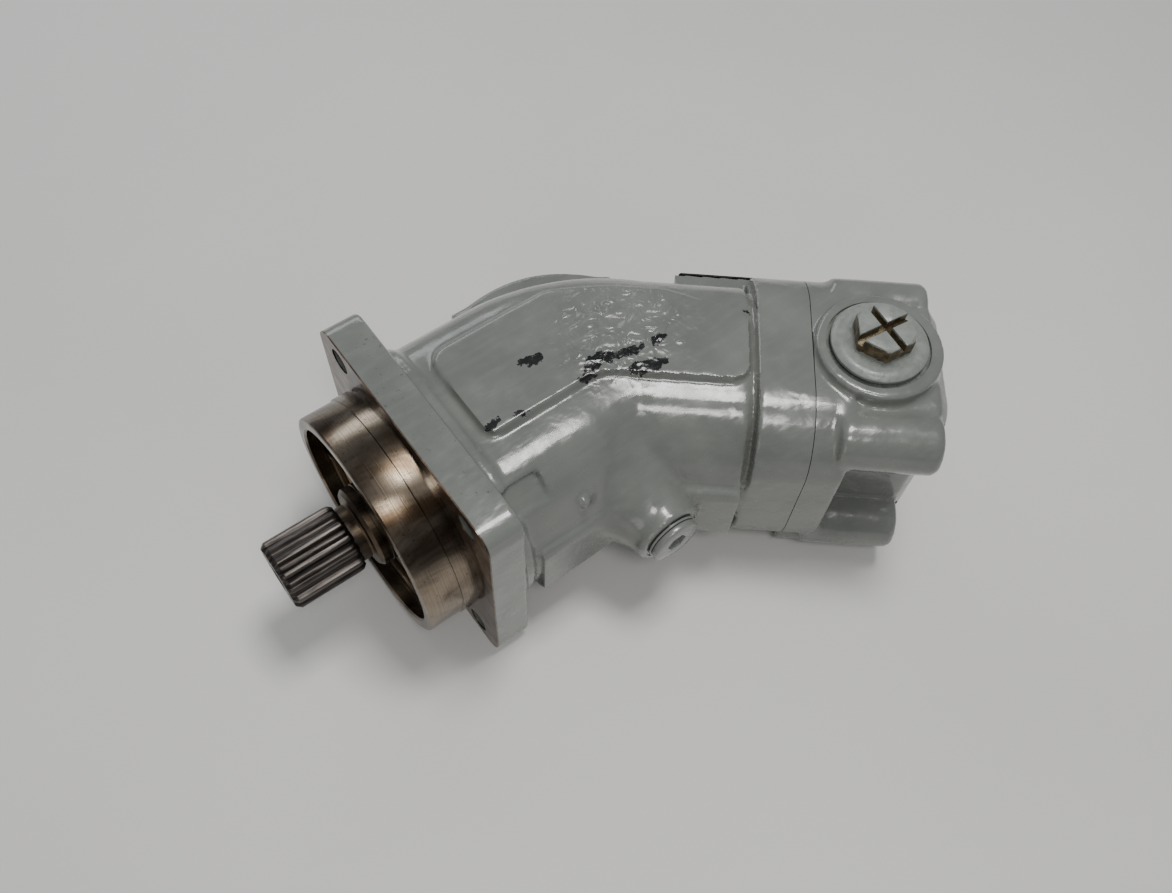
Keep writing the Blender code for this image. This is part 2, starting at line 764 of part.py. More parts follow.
def make_shaft():
    spline = spline_outline(13.1, 14.9, 14)
    levels = [(SHAFT_END_X, 0.9), (SHAFT_END_X + 1.8, 1.0), (-31.5, 1.0), (-30.0, 0.9)]
    rings = [[SHAFT @ Vector((x * size, y * size, z)) for x, y in spline] for z, size in levels]
    journal = [
        (0, -34),
        (12.0, -34),
        (12.0, -28),
        (SEAL_JOURNAL_RADIUS - 1.5, -25),
        (SEAL_JOURNAL_RADIUS, -23.5),
        (SEAL_JOURNAL_RADIUS, 27),
        (REAR_JOURNAL_RADIUS, 27.6),
        (REAR_JOURNAL_RADIUS, 51.6),
        (24, 52.2),
        (24, 58),
        (DRIVE_FLANGE_RADIUS, 66),
        (DRIVE_FLANGE_RADIUS, BEND_X),
        (0, BEND_X),
    ]
    shaft = join(loft(rings), lathe(SHAFT, journal, BEARING))
    sockets = [sphere(ball_place(index) @ SHAFT, SOCKET_RADIUS, SMALL) for index in range(PISTON_COUNT)]
    threads = [cylinder(place, 1.8, 76, BEND_X + 3, 8) for place in screw_places()]
    centre_hole = [(0, SHAFT_END_X - 2), (4.4, SHAFT_END_X - 2), (4.4, -44), (0, -41)]
    return cut(
        shaft,
        sphere(Matrix.Translation((BEND_X, 0, 0)) @ SHAFT, CENTRE_BALL_RADIUS + 2 * GAP, SMALL),
        lathe(SHAFT, centre_hole, 12),
        *sockets,
        *threads,
    )


def make_retaining_plate():
    """Plate whose holes close over the balls just past their centres."""
    low = BEND_X + GAP
    high = low + PLATE_THICKNESS
    slope = (HOLE_WIDE - HOLE_NARROW) / PLATE_THICKNESS
    cone = [(0, GAP - 1), (HOLE_WIDE + slope, GAP - 1), (HOLE_NARROW - slope, GAP + 3), (0, GAP + 3)]
    holes = [lathe(ball_place(index) @ SHAFT, cone, SMALL) for index in range(PISTON_COUNT)]
    screws = [cylinder(place, 1.8, low - 2, high + 2, 8) for place in screw_places()]
    plate = lathe(SHAFT, [(8.2, low), (PLATE_RADIUS, low), (PLATE_RADIUS, high), (8.2, high)], BEARING)
    return cut(plate, *holes, *screws)


def make_retaining_screw(place):
    seat = BEND_X + GAP + PLATE_THICKNESS + GAP
    profile = [(0, 78), (1.4, 78), (1.4, seat), (2.8, seat), (2.8, seat + 1), (1.6, seat + 1.7)]
    profile.append((0, seat + 1.7))
    return lathe(place, profile, 8)


# ---------------------------------------------------------------- block and pistons


def piston_place(index):
    """Frame at the ball's centre whose Z runs along the piston."""
    angle = ball_angle(index)
    lean = (BORE_PITCH - BALL_PITCH * math.cos(BEND_ANGLE)) * math.cos(angle)
    rise = (BORE_PITCH - BALL_PITCH) * math.sin(angle)
    along = (AXIS * PISTON_LENGTH + NORMAL * lean + UP * rise).normalized()
    side = UP.cross(along).normalized()
    return frame(ball_place(index).translation, side, along.cross(side), along)


def make_piston(index):
    head = PISTON_LENGTH
    rod_start = BALL_RADIUS + 0.4
    profile = [
        (0, rod_start),
        (3.9, rod_start),
        (3.9, 26),
        (5.9, head - 6),
        (PISTON_HEAD_RADIUS, head - 4),
        (PISTON_HEAD_RADIUS, head + 3),
        (6.0, head + 4),
        (0, head + 4),
    ]
    return lathe(piston_place(index), profile, SMALL)


def make_block():
    profile = [
        (CENTRE_BORE_RADIUS, BLOCK_START_D),
        (BLOCK_RADIUS - 3, BLOCK_START_D),
        (BLOCK_RADIUS, BLOCK_START_D + 3),
        (BLOCK_RADIUS, BLOCK_END_D - 12),
        (BLOCK_RADIUS - 2, BLOCK_END_D - 10),
        (BLOCK_RADIUS - 2, BLOCK_END_D),
        (2.5, BLOCK_END_D),
        (2.5, CENTRE_BORE_END_D),
        (CENTRE_BORE_RADIUS, CENTRE_BORE_END_D),
    ]
    bores = []
    for index in range(PISTON_COUNT):
        place = around(BLOCK, BORE_PITCH, ball_angle(index))
        bores.append(cylinder(place, BORE_RADIUS, BLOCK_START_D - 3, BORE_END_D, 14))
        bores.append(cylinder(place, 3.2, BORE_END_D - 2, BLOCK_END_D + 2, 6))
    return cut(lathe(BLOCK, profile, BEARING), *bores)


def make_centre_pin():
    ball = CENTRE_BALL_RADIUS
    arc = [math.radians(15 * step) for step in range(10)]
    profile = [(ball * math.sin(angle), -ball * math.cos(angle)) for angle in arc]
    profile[0] = (0.0, -ball)
    profile += [(3.3, 4.9), (3.3, 27), (6.4, 28.5), (6.4, 41), (2.4, 41), (2.4, 46), (0, 46)]
    return lathe(BLOCK, profile, SMALL)


def make_spring():
    """Coil spring that pushes the block onto the valve plate."""
    coil, wire, turns, steps = 4.4, 1.1, 4.5, 8
    low = 41 + wire + GAP
    high = CENTRE_BORE_END_D - wire - GAP
    rings = []
    total = int(turns * steps)
    for index in range(total + 1):
        angle = math.tau * index / steps
        outward = Vector((math.cos(angle), math.sin(angle), 0))
        centre = outward * coil + UP * (low + (high - low) * index / total)
        ring = [centre + outward * x + UP * y for x, y in polygon(wire, 4)]
        rings.append([BLOCK @ point for point in ring])
    return loft(rings)


def make_valve_plate():
    low = BLOCK_END_D + GAP
    high = JOINT_D - 0.1
    plate = lathe(BLOCK, [(3, low), (33, low), (33, high), (3, high)], BEARING)
    half = math.radians(66)
    kidneys = []
    for middle in (math.pi / 2, -math.pi / 2):
        outline = arc_band(BORE_PITCH, 3.4, middle - half, middle + half, 9)
        kidneys.append(prism(BLOCK, outline, low - 2, high + 2))
    pin_hole = cylinder(BLOCK @ Matrix.Translation((28, 0, 0)), 1.8, low - 2, high + 2, 12)
    return cut(plate, pin_hole, *kidneys)


def make_plate_pin():
    return cylinder(BLOCK @ Matrix.Translation((28, 0, 0)), 1.5, 86, 95.5, 12)


# ---------------------------------------------------------------- assembly


def build_casing(looks, root):
    paint = looks["grey_paint"]
    finish(make_housing(), "housing", paint, SHAFT, root)
    finish(make_cover(), "end_cover", paint, BLOCK, root)
    finish(o_ring(BLOCK, O_RING_RADIUS, 91.35, 0.95), "cover_o_ring", looks["rubber"], BLOCK, root)
    for number, (offset, height) in enumerate(cover_corners(), 1):
        place = BLOCK @ Matrix.Translation((offset, height, 0))
        bolt = make_cover_bolt(place)
        finish(bolt, f"cover_bolt_{number}", looks["black_oxide"], place, root)
    for number, place in enumerate(dowel_places(), 1):
        finish(make_dowel(place), f"dowel_{number}", looks["bearing_steel"], place, root)
    finish(make_plate(), "nameplate", looks["plate_alloy"], BLOCK, root)
    for number, place in enumerate(rivet_places(), 1):
        finish(make_rivet(place), f"nameplate_rivet_{number}", looks["plate_alloy"], place, root)


def build_plugs(looks, root):
    olive = looks["olive_zinc"]
    copper = looks["copper"]
    low = PORT_SPOT_Z + GAP
    finish(make_port_plug(), "port_plug_top", olive, PORT_TOP, root)
    finish(make_flush_plug(), "port_plug_bottom", olive, PORT_BOTTOM, root)
    top = make_seal_washer(PORT_TOP, 13.2, 18.6, low, 1.3)
    bottom = make_seal_washer(PORT_BOTTOM, 13.2, 18.6, low, 1.3)
    finish(top, "port_washer_top", copper, PORT_TOP, root)
    finish(bottom, "port_washer_bottom", copper, PORT_BOTTOM, root)
    finish(make_drain_plug(), "drain_plug", looks["grey_paint"], DRAIN, root)
    drain = make_seal_washer(DRAIN, 8.6, 11.5, DRAIN_FACE + GAP, 1.0)
    finish(drain, "drain_washer", copper, DRAIN, root)


def build_shaft_end(looks, root):
    steel = looks["bearing_steel"]
    finish(make_seal_carrier(), "seal_carrier", looks["machined_steel"], SHAFT, root)
    ring = o_ring(SHAFT, 42.65, -7.4, 1.05)
    finish(ring, "carrier_o_ring", looks["rubber"], SHAFT, root)
    finish(make_shaft_seal(), "shaft_seal", looks["rubber"], SHAFT, root)
    finish(make_snap_ring(), "snap_ring", looks["black_oxide"], SHAFT, root)
    outer = BEARING_BORE_RADIUS - GAP
    front_in = SEAL_JOURNAL_RADIUS + GAP
    rear_in = REAR_JOURNAL_RADIUS + GAP
    races = {
        "front_bearing_outer": (34.5, 33.0, outer, outer, 0.0, 21.0),
        "front_bearing_inner": (front_in, front_in, 26.0, 24.5, 0.0, 21.0),
        "bearing_spacer": (35.5, 35.5, outer, outer, 21.3, 29.7),
        "rear_bearing_outer": (34.0, 35.5, outer, outer, 30.0, 51.7),
        "rear_bearing_inner": (rear_in, rear_in, 26.5, 28.0, 30.0, 51.3),
    }
    for name, sizes in races.items():
        finish(make_race(*sizes), name, steel, SHAFT, root)
    front = make_roller_set(26.0, 33.9, -1.2, 2.5, 18.5, 13)
    rear = make_roller_set(27.0, 33.6, 1.2, 32.5, 49.0, 15)
    finish(front, "front_bearing_rollers", looks["bronze"], SHAFT, root)
    finish(rear, "rear_bearing_rollers", looks["bronze"], SHAFT, root)


def build_rotating_group(looks, root):
    steel = looks["bearing_steel"]
    finish(make_shaft(), "drive_shaft", looks["shaft_steel"], SHAFT, root)
    finish(make_retaining_plate(), "retaining_plate", steel, SHAFT, root)
    for number, place in enumerate(screw_places(), 1):
        screw = make_retaining_screw(place)
        finish(screw, f"retaining_screw_{number}", looks["black_oxide"], place, root)
    finish(make_block(), "cylinder_block", looks["bronze"], BLOCK, root)
    finish(make_centre_pin(), "centre_pin", steel, BLOCK, root)
    finish(make_spring(), "centre_spring", steel, BLOCK, root)
    finish(make_valve_plate(), "valve_plate", steel, BLOCK, root)
    finish(make_plate_pin(), "valve_plate_pin", steel, BLOCK, root)
    for index in range(PISTON_COUNT):
        place = ball_place(index)
        number = index + 1
        finish(sphere(place @ SHAFT, BALL_RADIUS, SMALL), f"piston_ball_{number}", steel, place, root)
        finish(make_piston(index), f"piston_{number}", steel, piston_place(index), root)


def main():
    clear_scene()
    looks = make_materials()
    root = bpy.data.objects.new("pump_frame", None)
    bpy.context.scene.collection.objects.link(root)
    build_casing(looks, root)
    build_plugs(looks, root)
    build_shaft_end(looks, root)
    build_rotating_group(looks, root)
    root.location = frame_shift()


main()
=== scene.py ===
import json
import math

import bmesh
import bpy
from mathutils import Matrix, Vector


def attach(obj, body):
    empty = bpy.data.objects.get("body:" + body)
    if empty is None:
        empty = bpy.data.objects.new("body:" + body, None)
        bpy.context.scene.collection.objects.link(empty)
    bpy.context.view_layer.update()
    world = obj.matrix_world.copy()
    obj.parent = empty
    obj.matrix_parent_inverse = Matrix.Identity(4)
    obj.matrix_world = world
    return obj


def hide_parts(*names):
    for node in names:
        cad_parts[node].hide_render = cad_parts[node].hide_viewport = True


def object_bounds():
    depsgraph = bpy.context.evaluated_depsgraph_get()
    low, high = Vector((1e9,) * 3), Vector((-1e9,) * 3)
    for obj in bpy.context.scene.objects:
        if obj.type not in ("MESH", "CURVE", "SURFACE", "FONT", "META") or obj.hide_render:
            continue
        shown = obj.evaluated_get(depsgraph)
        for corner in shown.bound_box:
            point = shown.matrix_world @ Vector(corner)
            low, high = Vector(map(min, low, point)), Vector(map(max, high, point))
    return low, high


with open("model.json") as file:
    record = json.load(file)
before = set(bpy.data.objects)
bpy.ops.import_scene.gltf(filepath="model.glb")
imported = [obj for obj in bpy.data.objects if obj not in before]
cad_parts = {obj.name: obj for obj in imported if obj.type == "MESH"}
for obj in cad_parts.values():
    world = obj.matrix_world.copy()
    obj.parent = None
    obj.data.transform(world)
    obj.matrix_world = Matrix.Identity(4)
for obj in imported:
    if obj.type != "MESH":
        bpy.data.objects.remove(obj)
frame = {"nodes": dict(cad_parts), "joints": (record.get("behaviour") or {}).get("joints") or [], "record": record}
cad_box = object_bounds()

# Lengths are millimetres in the design frame: X along the shaft, Z along the port axis.
METRE = 0.001
JOINTS = {joint["name"]: joint for joint in frame["joints"]}
ORIGIN = Vector(JOINTS["shaft_spin"]["pos_m"])
AXIS = Vector(JOINTS["block_spin"]["axis"])
BEND_X = (JOINTS["block_spin"]["pos_m"][0] - ORIGIN.x) / METRE
BEND_ANGLE = math.acos(AXIS.x)
NORMAL = Vector((math.sin(BEND_ANGLE), math.cos(BEND_ANGLE), 0.0))
UP = Vector((0.0, 0.0, 1.0))

# Casing
FLANGE_THICKNESS = 16.0
FLANGE_HALF_Y = 59.0
FLANGE_HALF_Z = 53.0
FLANGE_CORNER = 9.0
BOLT_HOLE_OFFSET = 125.0 / 2.0 / math.sqrt(2.0)
BOLT_HOLE_RADIUS = 5.5
PILOT_LENGTH = 23.1
PILOT_LAND = 8.0
PILOT_RADIUS = 50.0
PILOT_RELIEF_RADIUS = 49.4
SHAFT_BARREL_RADIUS = 55.0
BLOCK_BARREL_RADIUS = 50.0
BARREL_FLAT = 43.2
CORNER_POWER = 18  # higher makes a sharper turn from a barrel's round side to its flat top
SHOULDER_RISE = 2.2
SHOULDER_START_X = 8
SHOULDER_END_X = 20.5
SHOULDER_FOOT_X = 23
ELBOW_RADIUS = 60.0
ELBOW_STEPS = 24
BAND_START_X = 57
BAND_STEPS = 21
BAND_RISE = 2.5
BAND_CROWN = 4.5
BAND_CROWN_SHARE = 0.75
NECK_RADIUS = 47.5
NECK_START_D = 66.0
COLLAR_START_D = 68.3
COLLAR_HALF_N = 48.0
COLLAR_HALF_Z = 45.7
COLLAR_CORNER = 28.0
PAD_TOP_Z = 46.0
JOINT_D = 90.0
GAP = 0.3
CAVITY_RADIUS = 36.0
CAVITY_START_X = 55.0
ELBOW_CAVITY_RADIUS = 38.0
CARRIER_BORE_RADIUS = 44.0
CARRIER_FRONT_X = -14.0
CARRIER_BACK_X = -1.3
SNAP_GROOVE_RADIUS = 46.2
SNAP_GROOVE_WIDTH = 2.8
BEARING_BORE_RADIUS = 40.0
BEARING_STOP_RADIUS = 35.0
BEARING_STOP_X = 52.0
WALL_FOOT_Z = -24
WALL_START_X = 25
WALL_END_X = 66
REAR_WALL_START_D = 40
PIP_PLACE = (48.5, -51.2, 21.4)
PIP_RADIUS = 2.8
PLATE_FACE_N = 52.0
PLATE_CENTRE_D = 61.7
PLATE_HALF_LENGTH = 23.0
PLATE_HALF_HEIGHT = 21.8
PLATE_BORDER = 1.4

# Cover, ports and bolts
COVER_END_D = 144.0
COVER_BASE_END_D = 105.0
PORT_D = 115.2
PORT_TURN = 0.35
PORT_BOSS_D = 116.0
PORT_BOSS_RADIUS = 25.4
PORT_FACE_Z = 49.8
PORT_SPOT_RADIUS = 21.0
PORT_SPOT_Z = 48.3
PORT_BORE_RADIUS = 13.0
KIDNEY_RADIUS = 19.87
KIDNEY_HALF_WIDTH = 4.5
KIDNEY_START = math.radians(55)
KIDNEY_END = math.radians(125)
PLUG_THREAD_RADIUS = 12.6
PLUG_THREAD_END_Z = 34
PLUG_FLANGE_RADIUS = 19.4
PLUG_FLANGE_LOW_Z = 50.2
PLUG_FLANGE_TOP_Z = 53.2
PLUG_HEX_RADIUS = 12.4
PLUG_HEX_TOP_Z = 61.5
PLUG_SLOT_HALF_WIDTH = 1.6
PLUG_SLOT_FLOOR_Z = 57.3
PLUG_TURN = 0.2
INNER_BOLT_N = -34.0
INNER_BOLT_Z = 32.5
OUTER_BOLT_N = 30.5
OUTER_BOLT_Z = 35.0
BOLT_BOSS_RADIUS = 12.5
BOLT_BOSS_END_D = 140.0
BOLT_BOSS_FOOT_D = 100
BOLT_SEAT_D = 128.0
BOLT_SEAT_RADIUS = 8.4
BOLT_CLEARANCE_RADIUS = 5.3
BOLT_TIP_D = 74
BOLT_THREAD_RADIUS = 4.3
BOLT_HEAD_RADIUS = 8.0
BOLT_HEAD_HEIGHT = 10
DRAIN_X = 75.0
DRAIN_FACE = 75.0
DRAIN_SPOT_RADIUS = 12.6
DRAIN_BORE_RADIUS = 8.3
DRAIN_PASSAGE_RADIUS = 5.0
DRAIN_WASHER_THICKNESS = 1.0
PORT_WASHER_THICKNESS = 1.3

# Shaft
SHAFT_END_X = -61.0
CENTRE_HOLE_RADIUS = 4.4
CENTRE_HOLE_MOUTH = 5.6
SPLINE_TEETH = 14
SPLINE_ROOT_RADIUS = 13.1
SPLINE_TIP_RADIUS = 14.9
SPLINE_END_X = -30.0
NECK_X = -31
SEAL_JOURNAL_RADIUS = 17.5
SEAL_JOURNAL_X = -24.9
REAR_JOURNAL_RADIUS = 20.0
COLLAR_RADIUS = 24
DRIVE_FLANGE_RADIUS = 33.0
PISTONS = 7
BALL_PITCH = 22.5
SOCKET_RADIUS = 8.2
CENTRE_SOCKET_RADIUS = 6.6
SCREW_SLOTS = (0, 2, 5)
SCREW_PITCH = 27.5

# Mesh fineness
VOXEL = 1.0
ROUND = 128
FINE = 64


def frame_of(origin, x_axis, y_axis, z_axis):
    matrix = Matrix((x_axis, y_axis, z_axis)).transposed().to_4x4()
    matrix.translation = origin
    return matrix


WORLD = Matrix.Identity(4)
SHAFT = frame_of((0, 0, 0), (0, 1, 0), (0, 0, 1), (1, 0, 0))
BLOCK = frame_of((BEND_X, 0, 0), NORMAL, UP, AXIS)
DRAIN = frame_of((DRAIN_X, 0, 0), (1, 0, 0), (0, 0, 1), (0, -1, 0))
PORT_TOP = frame_of(BLOCK @ Vector((0, 0, PORT_D)), AXIS, NORMAL, UP) @ Matrix.Rotation(PORT_TURN, 4, "Z")
PORT_BOTTOM = PORT_TOP @ Matrix.Rotation(math.pi, 4, "X")


# ---------------------------------------------------------------- shape tools


def item_from(shape, name):
    mesh = bpy.data.meshes.new(name)
    shape.to_mesh(mesh)
    shape.free()
    item = bpy.data.objects.new(name, mesh)
    bpy.context.scene.collection.objects.link(item)
    return item


def solid(points, faces):
    shape = bmesh.new()
    corners = [shape.verts.new(Vector(point) * METRE + ORIGIN) for point in points]
    for face in faces:
        shape.faces.new([corners[index] for index in face])
    bmesh.ops.recalc_face_normals(shape, faces=shape.faces)
    return item_from(shape, "solid")


def loft(rings):
    count = len(rings[0])
    points = [point for ring in rings for point in ring]
    faces = []
    for level in range(len(rings) - 1):
        for index in range(count):
            after = (index + 1) % count
            low = level * count
            high = low + count
            faces.append((low + index, low + after, high + after, high + index))
    faces.append(tuple(range(count)))
    faces.append(tuple(range(len(points) - count, len(points))))
    return solid(points, faces)


def prism(place, outline, low, high, chamfer=0.0, shrink=0.97):
    levels = [(low, 1.0)]
    if chamfer:
        levels.append((high - chamfer, 1.0))
        levels.append((high, shrink))
    else:
        levels.append((high, 1.0))
    rings = [[place @ Vector((x * size, y * size, z)) for x, y in outline] for z, size in levels]
    return loft(rings)


def lathe(place, profile, segments=ROUND):
    """Turn (radius, height) points; a profile that starts off the axis makes a ring."""
    points = []
    rows = []
    for radius, height in profile:
        first = len(points)
        if radius == 0.0:
            points.append(place @ Vector((0, 0, height)))
            rows.append([first] * segments)
            continue
        for index in range(segments):
            angle = math.tau * index / segments
            corner = Vector((radius * math.cos(angle), radius * math.sin(angle), height))
            points.append(place @ corner)
        rows.append(list(range(first, first + segments)))
    pairs = list(zip(rows, rows[1:]))
    if profile[0][0] > 0.0:
        pairs.append((rows[-1], rows[0]))
    faces = []
    for low, high in pairs:
        for index in range(segments):
            after = (index + 1) % segments
            corners = (low[index], low[after], high[after], high[index])
            faces.append(tuple(dict.fromkeys(corners)))
    return solid(points, faces)


def cylinder(place, radius, low, high, segments=FINE):
    return lathe(place, [(0, low), (radius, low), (radius, high), (0, high)], segments)


def sphere(place, radius, segments=FINE):
    steps = segments // 2
    arc = [math.pi * step / steps for step in range(steps + 1)]
    profile = [(radius * math.sin(angle), -radius * math.cos(angle)) for angle in arc]
    profile[0] = (0.0, -radius)
    profile[-1] = (0.0, radius)
    return lathe(place, profile, segments)


def rounded_rectangle(half_x, half_y, corner, steps=12):
    outline = []
    for quarter in range(4):
        side_x = 1 if quarter in (0, 3) else -1
        side_y = 1 if quarter in (0, 1) else -1
        for step in range(steps + 1):
            angle = math.pi / 2 * (quarter + step / steps)
            x = side_x * (half_x - corner) + corner * math.cos(angle)
            y = side_y * (half_y - corner) + corner * math.sin(angle)
            outline.append((x, y))
    return outline


def rounded_outline(corners, radius, steps=5):
    """Round each corner of a polygon with a curve that starts and ends radius away from it."""
    outline = []
    count = len(corners)
    for index in range(count):
        corner = Vector(corners[index])
        before = Vector(corners[index - 1]) - corner
        after = Vector(corners[(index + 1) % count]) - corner
        reach = min(radius, before.length * 0.45, after.length * 0.45)
        start = corner + before.normalized() * reach
        end = corner + after.normalized() * reach
        for step in range(steps + 1):
            share = step / steps
            point = start.lerp(corner, share).lerp(corner.lerp(end, share), share)
            outline.append((point.x, point.y))
    return outline


def box(place, low, high):
    (x0, y0, z0), (x1, y1, z1) = low, high
    return prism(place, [(x0, y0), (x1, y0), (x1, y1), (x0, y1)], z0, z1)


def polygon(radius, count, turn=0.0):
    angles = [turn + math.tau * index / count for index in range(count)]
    return [(radius * math.cos(angle), radius * math.sin(angle)) for angle in angles]


def arc_band(radius, half_width, start, end, steps):
    angles = [start + (end - start) * step / steps for step in range(steps + 1)]
    outer = [(radius + half_width, angle) for angle in angles]
    inner = [(radius - half_width, angle) for angle in reversed(angles)]
    return [(size * math.cos(angle), size * math.sin(angle)) for size, angle in outer + inner]


def around(place, radius, angle):
    return place @ Matrix.Translation((radius * math.cos(angle), radius * math.sin(angle), 0))


def apply_modifiers(item):
    depsgraph = bpy.context.evaluated_depsgraph_get()
    mesh = bpy.data.meshes.new_from_object(item.evaluated_get(depsgraph))
    item.modifiers.clear()
    item.data = mesh
    return item


def cut(item, *tools, solver="MANIFOLD", operation="DIFFERENCE"):
    for tool in tools:
        modifier = item.modifiers.new("cut", "BOOLEAN")
        modifier.operation = operation
        modifier.solver = solver
        modifier.object = tool
    apply_modifiers(item)
    for tool in tools:
        bpy.data.objects.remove(tool, do_unlink=True)
    return item


def soften(item, passes, group=""):
    smooth = item.modifiers.new("soften", "SMOOTH")
    smooth.factor = 0.5
    smooth.iterations = passes
    smooth.vertex_group = group
    return apply_modifiers(item)


def cast(parts, passes, blend, blend_passes):
    """Fuse solids into one skin with softened edges, as a casting has.

    blend gives a weight from 0 to 1 for a point in millimetres, for larger fillets there.
    """
    shape = bmesh.new()
    for part in parts:
        shape.from_mesh(part.data)
        bpy.data.objects.remove(part, do_unlink=True)
    item = item_from(shape, "casting")
    remesh = item.modifiers.new("fuse", "REMESH")
    remesh.mode = "VOXEL"
    remesh.voxel_size = VOXEL * METRE
    apply_modifiers(item)
    soften(item, passes)
    group = item.vertex_groups.new(name="blend")
    for vertex in item.data.vertices:
        weight = blend((vertex.co - ORIGIN) / METRE)
        if weight > 0.01:
            group.add([vertex.index], weight, "REPLACE")
    soften(item, blend_passes, "blend")
    item.vertex_groups.clear()
    return item


def smoothstep(value, low, high):
    share = min(max((value - low) / (high - low), 0.0), 1.0)
    return share * share * (3.0 - 2.0 * share)


def bevel(item, width, angle=35.0):
    """Round the sharp edges of a machined piece."""
    modifier = item.modifiers.new("edge", "BEVEL")
    modifier.width = width * METRE
    modifier.segments = 2
    modifier.limit_method = "ANGLE"
    modifier.angle_limit = math.radians(angle)
    modifier.harden_normals = False
    return apply_modifiers(item)


def place_piece(item, name, look, body, slot, *nodes, sharp=35.0):
    item.name = name
    item.data.name = name
    item.data.materials.clear()
    item.data.materials.append(look)
    item.data.shade_smooth()
    item.data.set_sharp_from_angle(angle=math.radians(sharp))
    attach(item, body)
    if nodes:
        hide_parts(*nodes)
    return item


# ---------------------------------------------------------------- materials


class Look:
    """A Principled material and short ways to feed it."""

    def __init__(self, name, metallic=0.0, roughness=0.5):
        self.material = bpy.data.materials.new(name)
        self.material.use_nodes = True
        self.tree = self.material.node_tree
        self.shader = self.tree.nodes["Principled BSDF"]
        self.shader.inputs["Metallic"].default_value = metallic
        self.shader.inputs["Roughness"].default_value = roughness
        coordinates = self.tree.nodes.new("ShaderNodeTexCoord")
        self.place = self.shifted(coordinates.outputs["Object"])

    def shifted(self, vector):
        """Position in millimetres in the design frame."""
        offset = self.vector("SUBTRACT", vector, ORIGIN).outputs[0]
        scale = self.vector("SCALE", offset)
        scale.inputs["Scale"].default_value = 1.0 / METRE
        return scale.outputs[0]

    def vector(self, operation, first, second=None):
        node = self.tree.nodes.new("ShaderNodeVectorMath")
        node.operation = operation
        self.link(first, node.inputs[0])
        if second is not None:
            node.inputs[1].default_value = second
        return node

    def link(self, value, socket):
        if hasattr(value, "is_output"):
            self.tree.links.new(value, socket)
        else:
            socket.default_value = value

    def math(self, operation, a, b=0.0, c=0.0):
        node = self.tree.nodes.new("ShaderNodeMath")
        node.operation = operation
        for value, socket in zip((a, b, c), node.inputs):
            self.link(value, socket)
        return node.outputs[0]

    def plus(self, a, b):
        return self.math("ADD", a, b)

    def minus(self, a, b):
        return self.math("SUBTRACT", a, b)

    def times(self, a, b):
        return self.math("MULTIPLY", a, b)

    def larger(self, a, b):
        return self.math("MAXIMUM", a, b)

    def size(self, value):
        return self.math("ABSOLUTE", value)

    def stretch(self, scale, vector=None):
        return self.vector("MULTIPLY", vector or self.place, scale).outputs[0]

    def noise(self, scale, detail=3.0, rough=0.5, vector=None, distortion=0.0):
        node = self.tree.nodes.new("ShaderNodeTexNoise")
        self.link(vector or self.place, node.inputs["Vector"])
        node.inputs["Scale"].default_value = scale
        node.inputs["Detail"].default_value = detail
        node.inputs["Roughness"].default_value = rough
        node.inputs["Distortion"].default_value = distortion
        return node.outputs["Fac"]

    def line_noise(self, value, scale, detail=3.0):
        node = self.tree.nodes.new("ShaderNodeTexNoise")
        node.noise_dimensions = "1D"
        self.link(value, node.inputs["W"])
        node.inputs["Scale"].default_value = scale
        node.inputs["Detail"].default_value = detail
        return node.outputs["Fac"]

    def spread(self, value, low, high, start=0.0, end=1.0):
        """Map low..high to start..end smoothly."""
        node = self.tree.nodes.new("ShaderNodeMapRange")
        node.interpolation_type = "SMOOTHSTEP"
        self.link(value, node.inputs["Value"])
        node.inputs["From Min"].default_value = low
        node.inputs["From Max"].default_value = high
        node.inputs["To Min"].default_value = start
        node.inputs["To Max"].default_value = end
        return node.outputs["Result"]

    def mix(self, share, first, second):
        node = self.tree.nodes.new("ShaderNodeMix")
        node.data_type = "RGBA"
        self.link(share, node.inputs[0])
        for value, socket in ((first, node.inputs[6]), (second, node.inputs[7])):
            self.link(value if hasattr(value, "is_output") else (*value, 1.0), socket)
        return node.outputs[2]

    def parts(self):
        node = self.tree.nodes.new("ShaderNodeSeparateXYZ")
        self.link(self.place, node.inputs[0])
        return node.outputs

    def shaft_radius(self):
        """Distance from the shaft axis."""
        across, up = self.parts()[1:3]
        return self.math("SQRT", self.plus(self.times(across, across), self.times(up, up)))

    def distance(self, point, stretch):
        offset = self.vector("SUBTRACT", self.place, point).outputs[0]
        return self.vector("LENGTH", self.stretch(stretch, offset)).outputs["Value"]

    def pointiness(self):
        return self.tree.nodes.new("ShaderNodeNewGeometry").outputs["Pointiness"]

    def bump(self, height, strength, depth, after=None):
        node = self.tree.nodes.new("ShaderNodeBump")
        node.inputs["Strength"].default_value = strength
        node.inputs["Distance"].default_value = depth * METRE
        self.link(height, node.inputs["Height"])
        if after is not None:
            self.link(after, node.inputs["Normal"])
        return node.outputs[0]

    def finish(self, colour=None, roughness=None, normal=None, metallic=None):
        names = ("Base Color", "Roughness", "Normal", "Metallic")
        for name, value in zip(names, (colour, roughness, normal, metallic)):
            if value is not None:
                self.link(value, self.shader.inputs[name])
        return self.material


